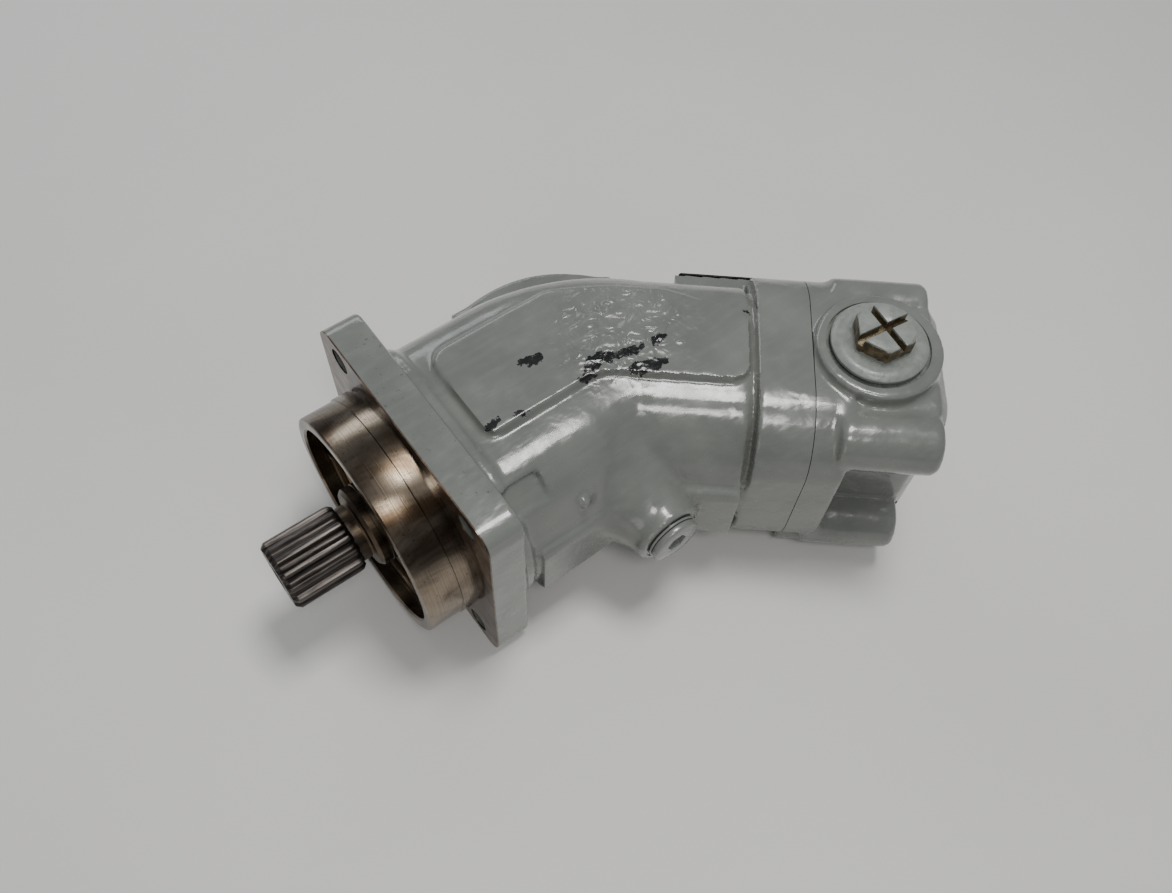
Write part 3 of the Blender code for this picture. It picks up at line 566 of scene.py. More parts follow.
# Paint chips on the top pad: place in the design frame, and reach
CHIPS = (
    ((31.5, -14.5, 46.0), 2.0),
    ((43.0, -16.7, 46.0), 1.4),
    ((58.6, 2.0, 46.0), 2.2),
    ((61.8, 0.0, 46.0), 2.2),
    ((74.0, -17.3, 45.5), 2.0),
    ((78.5, -15.6, 46.0), 2.2),
    ((81.5, -13.2, 46.0), 3.0),
    ((86.3, -15.5, 46.0), 2.5),
    ((91.5, -17.0, 46.0), 2.3),
    ((97.0, -18.5, 46.0), 2.3),
    ((92.0, -25.5, 45.5), 2.2),
    ((95.5, -27.0, 45.5), 2.9),
    ((100.0, -29.0, 45.0), 2.4),
    ((107.2, -19.7, 46.0), 2.4),
    ((91.0, -32.0, 43.0), 1.5),
    ((149.5, -28.5, 46.0), 1.9),
)
CHIP_STRETCH = (0.6, 1.1, 0.5)
CHIP_RAGGED = 6.0
CHIP_EDGE = 0.35

# Hammered paint on the top pad
HAMMERED_PLACE = (101.0, -4.0, 46.0)
HAMMERED_STRETCH = (0.9, 1.1, 2.2)
HAMMERED_INNER = 22.0
HAMMERED_OUTER = 48.0


def chip_mask(look):
    """1 where paint is missing, in long ragged flakes."""
    ragged = look.times(look.minus(look.noise(0.35, 3.0, 0.6), 0.5), CHIP_RAGGED)
    total = None
    for point, reach in CHIPS:
        far = look.plus(look.distance(point, CHIP_STRETCH), ragged)
        spot = look.spread(far, reach - CHIP_EDGE, reach, 1.0, 0.0)
        total = spot if total is None else look.larger(total, spot)
    return total


def hammer(look, normal):
    """Lumpy paint that fades out unevenly round its middle."""
    reach = look.distance(HAMMERED_PLACE, HAMMERED_STRETCH)
    reach = look.plus(reach, look.times(look.noise(0.06, 3.0, 0.6), 26.0))
    zone = look.spread(reach, HAMMERED_INNER, HAMMERED_OUTER, 1.0, 0.0)
    lumps = look.times(look.noise(0.15, 1.6, 0.5, None, 1.1), zone)
    return look.bump(lumps, 0.5, 4.2, normal)


def chip_away(look, colour, normal):
    """Show dark primer with a few bare glints where paint is missing."""
    chip = chip_mask(look)
    glints = look.noise(1.0, 3.0, 0.6, look.stretch((0.5, 2.2, 2.2)))
    bare = look.mix(look.spread(glints, 0.63, 0.7), (0.004, 0.004, 0.004), (0.07, 0.07, 0.06))
    return look.mix(chip, colour, bare), look.bump(look.times(chip, -1.0), 0.9, 0.5, normal)


def flange_wear_and_shade(look, colour):
    """Scuffs along the flange's top edge, and bare rusty iron on its mounting face, darkened as painted shade and
    browned as a painted reflection of brown wood.

    Returns the worn and shaded colour and a mask that is 1 on bare iron.
    """
    top_edge = look.spread(look.parts()[2], FLANGE_HALF_Z - 2.0, FLANGE_HALF_Z - 0.5)
    from_middle = look.size(look.minus(look.parts()[0], FLANGE_THICKNESS / 2))
    near_edges = look.spread(from_middle, 7.0, 9.0, 1.0, 0.0)
    scuff = look.spread(look.noise(0.5, 5.0, 0.7), 0.62, 0.68)
    scuff = look.times(look.times(scuff, top_edge), near_edges)
    colour = look.mix(scuff, colour, (0.09, 0.085, 0.07))
    bare = look.spread(look.parts()[0], 0.35, 0.8, 1.0, 0.0)
    stains = look.spread(look.noise(0.08, 5.0, 0.6), 0.35, 0.65)
    # bare rusty iron with random stains, its colours darkened as painted shade and browned as a painted reflection
    # of brown wood
    rust_shade_and_reflection = look.mix(stains, (0.035, 0.02, 0.012), (0.13, 0.085, 0.055))
    return look.mix(bare, colour, rust_shade_and_reflection), bare


def grey_paint(name, housing=False):
    """Thick glossy grey enamel brushed over a casting, worn in places on the housing, with painted shade in its
    creases and a painted highlight on its convex edges.
    """
    look = Look(name, 0.0, 0.3)
    look.shader.inputs["Coat Weight"].default_value = 0.5
    look.shader.inputs["Coat Roughness"].default_value = 0.1
    broad = look.noise(0.03, 3.0)
    streak = look.noise(1.0, 4.0, 0.6, look.stretch((0.04, 0.3, 0.3)))
    colour = look.mix(look.spread(broad, 0.3, 0.7), (0.142, 0.151, 0.138), (0.178, 0.187, 0.172))
    colour = look.mix(look.spread(streak, 0.4, 0.8, 0.0, 0.3), colour, (0.215, 0.225, 0.208))
    # painted shade: darker brown-grey in concave creases and hollows, found by pointiness
    crease_shade = look.spread(look.pointiness(), 0.43, 0.492, 0.75, 0.0)
    colour = look.mix(crease_shade, colour, (0.055, 0.05, 0.036))
    # painted highlight: lighter grey along convex edges, found by pointiness
    edge = look.spread(look.pointiness(), 0.52, 0.62, 0.0, 0.35)
    colour = look.mix(edge, colour, (0.27, 0.285, 0.268))
    peel = look.noise(0.11, 2.0, 0.35, None, 0.3)
    runs = look.noise(0.5, 2.0, 0.5, look.stretch((0.3, 0.8, 0.8)))
    normal = look.bump(peel, 0.4, 1.5)
    normal = look.bump(runs, 0.3, 0.35, normal)
    roughness = look.spread(look.noise(0.12, 3.0), 0.3, 0.7, 0.17, 0.3)
    metallic = None
    if housing:
        normal = hammer(look, normal)
        colour, normal = chip_away(look, colour, normal)
        colour, bare = flange_wear_and_shade(look, colour)
        metallic = look.times(bare, 0.7)
        roughness = look.plus(roughness, look.times(bare, 0.2))
    return look.finish(colour, roughness, normal, metallic)


def turned_steel(name, bright, dark, rough_low, rough_high, stain_and_reflection=0.5):
    """Steel with fine turning rings about the shaft axis and brown staining; on the pilot the dark brown is partly
    a painted reflection of brown wood.
    """
    look = Look(name, 1.0, rough_high)
    sweep = look.plus(look.parts()[0], look.shaft_radius())
    rings = look.line_noise(sweep, 2.2, 6.0)
    stains = look.noise(0.045, 5.0, 0.62, look.stretch((0.5, 1.0, 1.0)), 0.6)
    colour = look.mix(look.spread(stains, 0.32, 0.68, 0.0, stain_and_reflection), bright, dark)
    colour = look.mix(look.spread(rings, 0.3, 0.75, 0.0, 0.3), colour, dark)
    speck = look.spread(look.noise(0.9, 2.0, 0.5), 0.66, 0.72, 0.0, 0.6)
    colour = look.mix(speck, colour, tuple(value * 0.3 for value in dark))
    matt = look.plus(rings, look.times(stains, 0.5))
    roughness = look.spread(matt, 0.4, 1.1, rough_low, rough_high)
    normal = look.bump(rings, 0.22, 0.06)
    return look.finish(colour, roughness, normal)


def spline_steel():
    """Dark hardened spline with lighter worn tooth tips, and a tan journal behind it."""
    look = Look("spline_steel", 1.0, 0.35)
    along = look.parts()[0]
    streaks = look.noise(1.0, 4.0, 0.6, look.stretch((0.12, 1.6, 1.6)))
    colour = look.mix(look.spread(streaks, 0.3, 0.7), (0.034, 0.03, 0.028), (0.1, 0.088, 0.08))
    tip = look.spread(look.shaft_radius(), SPLINE_TIP_RADIUS - 1.0, SPLINE_TIP_RADIUS - 0.3, 0.0, 0.55)
    front = look.spread(along, SPLINE_END_X, SPLINE_END_X + 4.0, 1.0, 0.0)
    tip = look.times(look.times(tip, front), look.spread(streaks, 0.35, 0.6, 0.4, 1.0))
    colour = look.mix(tip, colour, (0.175, 0.158, 0.145))
    journal = look.spread(along, NECK_X, NECK_X + 4.0, 0.0, 0.75)
    stains = look.spread(look.noise(0.15, 4.0), 0.4, 0.65)
    tan = look.mix(stains, (0.125, 0.092, 0.058), (0.05, 0.034, 0.022))
    colour = look.mix(journal, colour, tan)
    rings = look.line_noise(along, 3.0, 5.0)
    normal = look.bump(streaks, 0.25, 0.1)
    normal = look.bump(rings, 0.15, 0.05, normal)
    roughness = look.spread(streaks, 0.3, 0.75, 0.3, 0.5)
    return look.finish(colour, roughness, normal)


def plug_look():
    """Olive chromated plug with grey overspray on its flange and on top of its head, and painted shade in its
    creases.
    """
    look = Look("plug_olive_and_grey", 0.0, 0.4)
    broken = look.times(look.minus(look.noise(0.5, 4.0, 0.65), 0.5), 2.4)
    level = look.plus(look.parts()[2], broken)
    flange = look.spread(level, PLUG_FLANGE_TOP_Z + 0.4, PLUG_FLANGE_TOP_Z + 1.2, 1.0, 0.0)
    top = look.spread(level, PLUG_HEX_TOP_Z - 1.3, PLUG_HEX_TOP_Z - 0.6, 0.0, 1.0)
    painted = look.larger(flange, top)
    chromate = look.spread(look.noise(0.3, 4.0), 0.35, 0.65)
    olive = look.mix(chromate, (0.06, 0.045, 0.022), (0.15, 0.12, 0.07))
    overspray = look.spread(look.noise(0.2, 3.0), 0.3, 0.7)
    grey = look.mix(overspray, (0.2, 0.215, 0.2), (0.25, 0.265, 0.248))
    colour = look.mix(painted, olive, grey)
    # painted shade: near black in concave creases and hollows, found by pointiness
    crease_shade = look.spread(look.pointiness(), 0.43, 0.495, 0.6, 0.0)
    colour = look.mix(crease_shade, colour, (0.03, 0.028, 0.02))
    metallic = look.times(look.minus(1.0, painted), 0.55)
    normal = look.bump(look.noise(0.3, 3.0, 0.5), 0.4, 0.6)
    roughness = look.spread(look.noise(0.4, 3.0), 0.3, 0.7, 0.22, 0.42)
    return look.finish(colour, roughness, normal, metallic)


def plain_metal(name, first, second, metallic, rough_low, rough_high):
    """Two-tone metal with fine grain, for the inner pieces and the fasteners."""
    look = Look(name, metallic, rough_high)
    tone = look.noise(0.12, 4.0, 0.6)
    fine = look.noise(0.8, 3.0, 0.6)
    colour = look.mix(look.spread(tone, 0.3, 0.7), first, second)
    roughness = look.spread(fine, 0.3, 0.7, rough_low, rough_high)
    normal = look.bump(fine, 0.2, 0.08)
    return look.finish(colour, roughness, normal)


def rubber_look():
    look = Look("nitrile_rubber", 0.0, 0.7)
    dust = look.noise(0.4, 4.0, 0.6)
    colour = look.mix(look.spread(dust, 0.4, 0.7), (0.012, 0.012, 0.012), (0.04, 0.038, 0.034))
    return look.finish(colour, look.spread(dust, 0.3, 0.7, 0.55, 0.8), look.bump(dust, 0.3, 0.15))


def plate_look():
    """Dark anodised plate with a thin darker border and no lettering."""
    look = Look("blank_plate", 0.8, 0.4)
    along = look.vector("DOT_PRODUCT", look.place, AXIS).outputs["Value"]
    middle = (BLOCK @ Vector((0, 0, PLATE_CENTRE_D))).dot(AXIS)
    lengthwise = look.size(look.minus(along, middle))
    height = look.size(look.parts()[2])
    edge = look.larger(
        look.minus(lengthwise, PLATE_HALF_LENGTH - PLATE_BORDER),
        look.minus(height, PLATE_HALF_HEIGHT - PLATE_BORDER),
    )
    border = look.spread(edge, 0.0, 0.25, 0.0, 1.0)
    scuff = look.noise(0.6, 4.0, 0.6, look.stretch((0.2, 0.2, 2.0)))
    colour = look.mix(border, (0.03, 0.03, 0.032), (0.012, 0.012, 0.012))
    colour = look.mix(look.spread(scuff, 0.62, 0.75, 0.0, 0.5), colour, (0.2, 0.2, 0.2))
    return look.finish(colour, look.spread(scuff, 0.3, 0.7, 0.3, 0.5), look.bump(scuff, 0.15, 0.05))


def floor_look():
    look = Look("pale_floor", 0.0, 0.55)
    tone = look.noise(0.004, 4.0, 0.5)
    colour = look.mix(look.spread(tone, 0.3, 0.7), (0.70, 0.69, 0.67), (0.74, 0.73, 0.71))
    return look.finish(colour, look.spread(tone, 0.3, 0.7, 0.5, 0.6))


# ---------------------------------------------------------------- casing


def barrel_outline(radius, flat, count=192):
    """Circle of the given radius, flattened to height flat above and below."""
    outline = []
    for index in range(count):
        angle = math.tau * (index + 0.5) / count
        side = abs(math.sin(angle)) / flat
        reach = (radius ** -CORNER_POWER + side ** CORNER_POWER) ** (-1 / CORNER_POWER)
        outline.append((reach * math.cos(angle), reach * math.sin(angle)))
    return outline


def elbow_frames():
    """Frames along the bend, each with its share of the whole turn."""
    tangent = ELBOW_RADIUS * math.tan(BEND_ANGLE / 2)
    centre = Vector((BEND_X - tangent, -ELBOW_RADIUS, 0))
    frames = []
    for step in range(ELBOW_STEPS + 1):
        share = step / ELBOW_STEPS
        angle = BEND_ANGLE * share
        outward = Vector((math.sin(angle), math.cos(angle), 0))
        forward = Vector((math.cos(angle), -math.sin(angle), 0))
        frames.append((share, frame_of(centre + outward * ELBOW_RADIUS, outward, UP, forward)))
    return frames


def elbow_radius(share):
    return SHAFT_BARREL_RADIUS + share * (BLOCK_BARREL_RADIUS - SHAFT_BARREL_RADIUS)


def barrel_body():
    def ring(place, radius, along=0.0, flat=BARREL_FLAT):
        return [place @ Vector((x, y, along)) for x, y in barrel_outline(radius, flat)]

    shoulder = SHAFT_BARREL_RADIUS + SHOULDER_RISE
    rings = [
        ring(SHAFT, shoulder, SHOULDER_START_X, BARREL_FLAT + SHOULDER_RISE),
        ring(SHAFT, shoulder, SHOULDER_END_X, BARREL_FLAT + SHOULDER_RISE),
        ring(SHAFT, SHAFT_BARREL_RADIUS, SHOULDER_FOOT_X),
    ]
    rings += [ring(place, elbow_radius(share)) for share, place in elbow_frames()]
    rings.append(ring(BLOCK, BLOCK_BARREL_RADIUS, NECK_START_D - 1))
    rings.append(ring(BLOCK, NECK_RADIUS, NECK_START_D))
    rings.append(ring(BLOCK, NECK_RADIUS, COLLAR_START_D + 4))
    return loft(rings)


def elbow_band():
    """Raised band over the outside of the bend."""
    rings = []
    places = [(0.0, Matrix.Translation((BAND_START_X, 0, 0)) @ SHAFT)]
    for share, place in places + elbow_frames()[:BAND_STEPS]:
        crown = BAND_CROWN * math.sin(math.pi * min(share / BAND_CROWN_SHARE, 1.0))
        top = elbow_radius(share) + BAND_RISE + crown
        outline = [(40, -20), (top - 3, -20), (top, -16), (top, 16), (top - 3, 20), (40, 20)]
        rings.append([place @ Vector((x, y, 0)) for x, y in outline])
    return loft(rings)


def top_pad():
    """Flat pad on top of the bend, with edges along both barrels."""
    block_edge = [(-18, 13), (-18, 60), (-14, 65), (12, 65), (16, 61), (25, 31), (25, 7)]
    corners = [(28, -15.5), (31, -18.3), (79, -18.3)]
    for offset, along in block_edge:
        place = BLOCK @ Vector((offset, 0, along))
        corners.append((place.x, place.y))
    corners += [(86, 27), (33, 27), (28, 22)]
    return prism(WORLD, rounded_outline(corners, 3.0), BARREL_FLAT - 5, PAD_TOP_Z)


def side_features():
    """Flat walls along both barrels inside the bend, the plate's seat and a pip."""
    foot = WALL_FOOT_Z
    front_outline = [(-20, foot), (-53.5, foot), (-57.5, foot + 4), (-57.5, 7.5)]
    front_outline += [(-56.8, 9.8), (-54.6, 11.5), (-20, 12.5)]
    rear_outline = [(-20, foot), (-48.5, foot), (-52.5, foot + 4), (-52.5, 8.5)]
    rear_outline += [(-51.8, 10.8), (-49.5, 12.5), (-20, 13.5)]
    seat = box(BLOCK, (40, -22, 37), (PLATE_FACE_N, 22, 85))
    pip = sphere(Matrix.Translation(PIP_PLACE), PIP_RADIUS, 16)
    front_wall = prism(SHAFT, front_outline, WALL_START_X, WALL_END_X)
    rear_wall = prism(BLOCK, rear_outline, REAR_WALL_START_D, NECK_START_D)
    return [front_wall, rear_wall, seat, pip]


def barrel_pocket():
    """Tilted cutter for the shallow pocket beside the flange."""
    outline = [(-35.8, 37.8), (-45.8, 29.9), (-53.2, 39.3), (-43.2, 47.2)]
    return prism(SHAFT, outline, FLANGE_THICKNESS + 1.5, 36)


def drain_boss():
    """Boss that flares out into the inside of the bend."""
    flare = [(0, 30), (35, 30)]
    steps = 8
    for step in range(steps + 1):
        share = step / steps
        flare.append((15.2 + 18.8 * (1 - share) ** 1.3, 42 + 28 * share))
    flare += [(15, DRAIN_FACE), (0, DRAIN_FACE)]
    return lathe(DRAIN, flare, FINE)


def snap_groove():
    """The snap ring's groove in front of the carrier, as part of a bore's profile."""
    back = CARRIER_FRONT_X
    front = back - SNAP_GROOVE_WIDTH
    bore = CARRIER_BORE_RADIUS
    return [(bore, front), (SNAP_GROOVE_RADIUS, front), (SNAP_GROOVE_RADIUS, back), (bore, back)]


def shaft_bore():
    """Stepped cutter for the carrier, the snap ring, the bearings and the drive flange."""
    mouth = -PILOT_LENGTH - 5
    profile = [
        (0, mouth),
        (CARRIER_BORE_RADIUS, mouth),
        *snap_groove(),
        (CARRIER_BORE_RADIUS, CARRIER_BACK_X + GAP),
        (BEARING_BORE_RADIUS, CARRIER_BACK_X + GAP),
        (BEARING_BORE_RADIUS, BEARING_STOP_X),
        (BEARING_STOP_RADIUS, BEARING_STOP_X),
        (BEARING_STOP_RADIUS, CAVITY_START_X),
        (CAVITY_RADIUS, CAVITY_START_X),
        (CAVITY_RADIUS, BEND_X),
        (0, BEND_X),
    ]
    return lathe(SHAFT, profile)


def soft_weight(point):
    """Where the casting flows in wide curves: round the drain boss and the top pad's outer rim."""
    local = BLOCK.inverted() @ point
    boss_foot = Vector((79, -52, 0))
    reach = (point - boss_foot).length
    weight = (1.0 - smoothstep(reach, 24.0, 44.0)) * (1.0 - smoothstep(-point.y, 62.0, 68.0))
    if point.z > 38.0 and point.x > 24.0 and local.z < 46.0:
        weight = max(weight, smoothstep(max(point.y, local.x), 6.0, 14.0))
    return weight


def make_casting(look):
    """Housing: flange, two barrels at the bend's angle, pad, walls and bosses in one skin."""
    flange = rounded_rectangle(FLANGE_HALF_Y, FLANGE_HALF_Z, FLANGE_CORNER)
    collar = rounded_rectangle(COLLAR_HALF_N, COLLAR_HALF_Z, COLLAR_CORNER, 20)
    parts = [
        cut(barrel_body(), barrel_pocket()),
        prism(SHAFT, flange, -2, FLANGE_THICKNESS),
        prism(BLOCK, collar, COLLAR_START_D, JOINT_D + 2),
        top_pad(),
        elbow_band(),
        drain_boss(),
        *side_features(),
    ]
    item = cast(parts, 5, soft_weight, 34)
    holes = []
    for side_y in (1, -1):
        for side_z in (1, -1):
            spot = Matrix.Translation((side_y * BOLT_HOLE_OFFSET, side_z * BOLT_HOLE_OFFSET, 0))
            holes.append(cylinder(SHAFT @ spot, BOLT_HOLE_RADIUS, -2, FLANGE_THICKNESS + 3))
    cut(
        item,
        box(WORLD, (-9, -70, -60), (0, 70, 60)),
        box(BLOCK, (-80, -70, JOINT_D), (80, 70, JOINT_D + 9)),
        shaft_bore(),
        sphere(BLOCK, ELBOW_CAVITY_RADIUS),
        cylinder(BLOCK, CAVITY_RADIUS, -4, JOINT_D + 5, ROUND),
        cylinder(DRAIN, DRAIN_SPOT_RADIUS, DRAIN_FACE - 0.4, DRAIN_FACE + 7, ROUND),
        cylinder(DRAIN, DRAIN_BORE_RADIUS, 62, DRAIN_FACE + 2),
        cylinder(DRAIN, DRAIN_PASSAGE_RADIUS, 30, 64),
        *holes,
    )
    return place_piece(item, "housing_casting", look, "casing", "grey_paint", "housing")


def make_pilot(look):
    """Bare machined pilot with its bore, in front of the painted flange."""
    inner = CARRIER_BORE_RADIUS
    front = -PILOT_LENGTH
    land = PILOT_RADIUS
    relief = PILOT_RELIEF_RADIUS
    profile = [(land - 1.2, 0.0), (land - 1.2, -1.6), (land, -1.9), (land, -PILOT_LAND)]
    profile += [(relief, -PILOT_LAND - 0.25), (relief, front + 1.0), (relief - 0.25, front + 0.35)]
    profile += [(relief - 0.9, front), (inner + 0.8, front), (inner, front + 0.8)]
    profile += [*snap_groove(), (inner, 0.0)]
    item = lathe(SHAFT, profile, 192)
    return place_piece(item, "pilot_spigot", look, "casing", "grey_paint", "housing", sharp=25)


def foot_weight(point):
    """Where the cover's bosses run into its base plate."""
    local = BLOCK.inverted() @ point
    if abs(local.x) < 24 and local.z > JOINT_D:
        return 0.0
    return 1.0 - smoothstep(abs(local.z - (COVER_BASE_END_D - 1.0)), 3.0, 9.0)


def cover_corners():
    """Places of the four cover bolts, along NORMAL and UP."""
    pairs = ((OUTER_BOLT_N, OUTER_BOLT_Z), (INNER_BOLT_N, INNER_BOLT_Z))
    return [(offset, side * height) for offset, height in pairs for side in (1, -1)]


def make_cover(look):
    """End cover: base plate, middle block, port boss and four bolt bosses in one skin."""
    start = JOINT_D + GAP
    plate = rounded_rectangle(COLLAR_HALF_N, COLLAR_HALF_Z, COLLAR_CORNER, 20)
    middle = rounded_rectangle(30, 44.5, 9)
    port_place = frame_of(BLOCK @ Vector((0, 0, PORT_BOSS_D)), AXIS, NORMAL, UP)
    parts = [
        prism(BLOCK, plate, start - 2, COVER_BASE_END_D),
        prism(BLOCK, middle, 99, COVER_END_D, 5, 0.88),
        box(BLOCK, (-38, 21, 101), (33, 43.5, 136.5)),
        box(BLOCK, (-38, -43.5, 101), (33, -21, 136.5)),
        cylinder(BLOCK @ Matrix.Translation((-33, -39, 0)), 9.5, 90.6, 104),
        cylinder(port_place, PORT_BOSS_RADIUS, -PORT_FACE_Z, PORT_FACE_Z, ROUND),
    ]
    holes = []
    for offset, height in cover_corners():
        place = BLOCK @ Matrix.Translation((offset, height, 0))
        boss = BOLT_BOSS_RADIUS if offset < 0 else BOLT_BOSS_RADIUS - 1.5
        foot = BOLT_BOSS_FOOT_D
        end = BOLT_BOSS_END_D
        profile = [(0, foot), (boss, foot), (boss, end - 2), (boss - 1.5, end), (0, end)]
        parts.append(lathe(place, profile, FINE))
        holes.append(cylinder(place, BOLT_SEAT_RADIUS, BOLT_SEAT_D, end + 3))
        holes.append(cylinder(place, BOLT_CLEARANCE_RADIUS, JOINT_D - 2, BOLT_SEAT_D + 2, 32))
    item = cast(parts, 6, foot_weight, 26)
    passages = []
    for place, side in ((PORT_TOP, 0.0), (PORT_BOTTOM, math.pi)):
        channel = arc_band(KIDNEY_RADIUS, KIDNEY_HALF_WIDTH, KIDNEY_START, KIDNEY_END, 12)
        passages.append(cylinder(place, PORT_BORE_RADIUS, 12, PORT_FACE_Z + 3))
        passages.append(cylinder(place, PORT_SPOT_RADIUS, PORT_SPOT_Z, 55, ROUND))
        passages.append(prism(BLOCK @ Matrix.Rotation(side, 4, "Z"), channel, JOINT_D - 3, PORT_D))
    groove = [(37.6, 88), (40.6, 88), (40.6, 92.6), (37.6, 92.6)]
    cut(
        item,
        box(BLOCK, (-80, -70, JOINT_D - 9), (80, 70, start)),
        *passages,
        lathe(BLOCK, groove),
        *holes,
    )
    return place_piece(item, "cover_casting", look, "casing", "grey_paint", "end_cover")


def make_cover_bolts(look):
    """Socket head cap screws, sunk in their bosses."""
    thread = BOLT_THREAD_RADIUS
    head = BOLT_HEAD_RADIUS
    tip = BOLT_TIP_D
    seat = BOLT_SEAT_D + GAP
    top = seat + BOLT_HEAD_HEIGHT
    for number, (offset, height) in enumerate(cover_corners(), 1):
        place = BLOCK @ Matrix.Translation((offset, height, 0))
        profile = [(0, tip), (thread - 0.3, tip), (thread, tip + 1), (thread, seat), (head - 0.1, seat)]
        profile += [(head, seat + 0.2), (head, top - 0.7), (head - 0.2, top - 0.2), (head - 0.7, top)]
        profile.append((0, top))
        bolt = cut(lathe(place, profile, 48), prism(place, polygon(4.6, 6), seat + 5, top + 2))
        bevel(bolt, 0.15)
        name = f"cover_bolt_{number}"
        place_piece(bolt, f"cap_screw_{number}", look, "casing", "black_oxide", name)


# ---------------------------------------------------------------- plugs and plate


def plug_thread(low):
    """Threaded part of a port plug, up to height low."""
    radius = PLUG_THREAD_RADIUS
    tip = PLUG_THREAD_END_Z
    return [(0, tip), (radius - 0.8, tip), (radius, tip + 1), (radius, low)]


def make_port_plug(look):
    """Hexagon plug with a cross slot, on a round flange."""
    low = PLUG_FLANGE_LOW_Z
    top = PLUG_FLANGE_TOP_Z
    edge = PLUG_FLANGE_RADIUS
    profile = plug_thread(low) + [(edge - 0.3, low), (edge, low + 0.3), (edge, top - 1.6)]
    profile += [(edge - 0.3, top - 1.2), (16.9, top), (14.4, top), (13.6, top - 0.35), (0, top - 0.35)]
    plug = lathe(PORT_TOP, profile)
    head = [(0, 50.5), (12.5, 50.5), (12.5, 60.0), (11.0, PLUG_HEX_TOP_Z), (0, PLUG_HEX_TOP_Z)]
    hexagon = cut(
        prism(PORT_TOP, polygon(PLUG_HEX_RADIUS, 6, PLUG_TURN), 50.6, PLUG_HEX_TOP_Z),
        lathe(PORT_TOP, head, FINE),
        operation="INTERSECT",
    )
    cut(plug, hexagon, operation="UNION")
    slots = []
    for turn in (PLUG_TURN, PLUG_TURN + math.pi / 2):
        place = PORT_TOP @ Matrix.Rotation(turn, 4, "Z")
        low_corner = (-15, -PLUG_SLOT_HALF_WIDTH, PLUG_SLOT_FLOOR_Z)
        slots.append(box(place, low_corner, (15, PLUG_SLOT_HALF_WIDTH, 64)))
    cut(plug, *slots)
    bevel(plug, 0.3)
    return place_piece(plug, "cross_slot_plug", look, "casing", "olive_zinc", "port_plug_top")


def make_lower_plug(look):
    low = PORT_SPOT_Z + 1.9
    top = 52.6
    edge = PLUG_FLANGE_RADIUS
    profile = plug_thread(low) + [(edge - 0.2, low), (edge, low + 0.2), (edge, top - 0.7)]
    profile += [(edge - 0.7, top), (0, top)]
    plug = cut(lathe(PORT_BOTTOM, profile), prism(PORT_BOTTOM, polygon(8.1, 6), 44, 54))
    bevel(plug, 0.25)
    return place_piece(plug, "flush_plug", look, "casing", "olive_zinc", "port_plug_bottom")


def make_drain_plug(look):
    face = DRAIN_FACE + DRAIN_WASHER_THICKNESS + 2 * GAP
    profile = [(0, 64), (7.3, 64), (7.9, 65), (7.9, face), (10.8, face), (11, face + 0.2)]
    profile += [(11, face + 1.9), (10.8, face + 2.3), (10.2, face + 2.6), (0, face + 2.6)]
    plug = cut(lathe(DRAIN, profile, FINE), prism(DRAIN, polygon(4.6, 6), 72, face + 5))
    bevel(plug, 0.2)
    return place_piece(plug, "socket_plug", look, "casing", "grey_paint", "drain_plug")


def make_washer(place, sizes, name, look, node):
    """Flat ring; sizes are its inner and outer radius, lower face and thickness."""
    inner, outer, low, thickness = sizes
    edge = thickness * 0.25
    top = low + thickness
    section = [(inner, low), (outer - edge, low), (outer, low + edge)]
    section += [(outer, top - edge), (outer - edge, top), (inner, top)]
    return place_piece(lathe(place, section, 96), name, look, "casing", "copper", node)


# ---------------------------------------------------------------- seal and shaft


def make_seal_carrier(look):
    """Disc that holds the shaft seal, with an O-ring groove in its rim."""
    outer = CARRIER_BORE_RADIUS - GAP
    front = CARRIER_FRONT_X
    back = CARRIER_BACK_X
    face = [(26.6, front), (30.5, front), (31.5, front + 1.6), (37.5, front + 1.6), (38.5, front)]
    rim = [(outer - 0.8, front), (outer, front + 0.8), (outer, -9.0)]
    groove = [(outer - 2.5, -9.0), (outer - 2.5, -5.8), (outer, -5.8), (outer, back)]
    bore = [(20.0, back), (20.0, -5.0), (26.0, -5.0), (26.0, front + 0.6)]
    holder = lathe(SHAFT, face + rim + groove + bore)
    return place_piece(holder, "seal_holder", look, "casing", "seal_carrier_steel", "seal_carrier")


def make_shaft_seal(look):
    inner = SEAL_JOURNAL_RADIUS + GAP
    outer = 25.7
    back = -5.4
    front = -12.4
    profile = [(inner + 0.6, back), (outer, back), (outer, front), (outer - 3.5, front), (21.2, -10.2)]
    profile += [(20.2, -10.0), (19.2, -12.3), (inner + 0.3, -12.0), (inner, -11.0), (inner + 0.6, -9.0)]
    return place_piece(lathe(SHAFT, profile), "lip_seal", look, "casing", "rubber", "shaft_seal")


def make_snap_ring(look):
    """Open ring with a plier hole near each end."""
    front = CARRIER_FRONT_X - 2.5
    opening = math.radians(10)
    hole_angle = math.radians(13.5)
    outline = arc_band(42.8, 2.9, opening, math.tau - opening, 120)
    ring = prism(SHAFT, outline, front, CARRIER_FRONT_X - GAP)
    holes = []
    for angle in (hole_angle, math.tau - hole_angle):
        holes.append(cylinder(around(SHAFT, 42.2, angle), 1.2, front - 2, CARRIER_FRONT_X + 2, 24))
    cut(ring, *holes)
    bevel(ring, 0.2)
    return place_piece(ring, "retaining_clip", look, "casing", "black_oxide", "snap_ring")


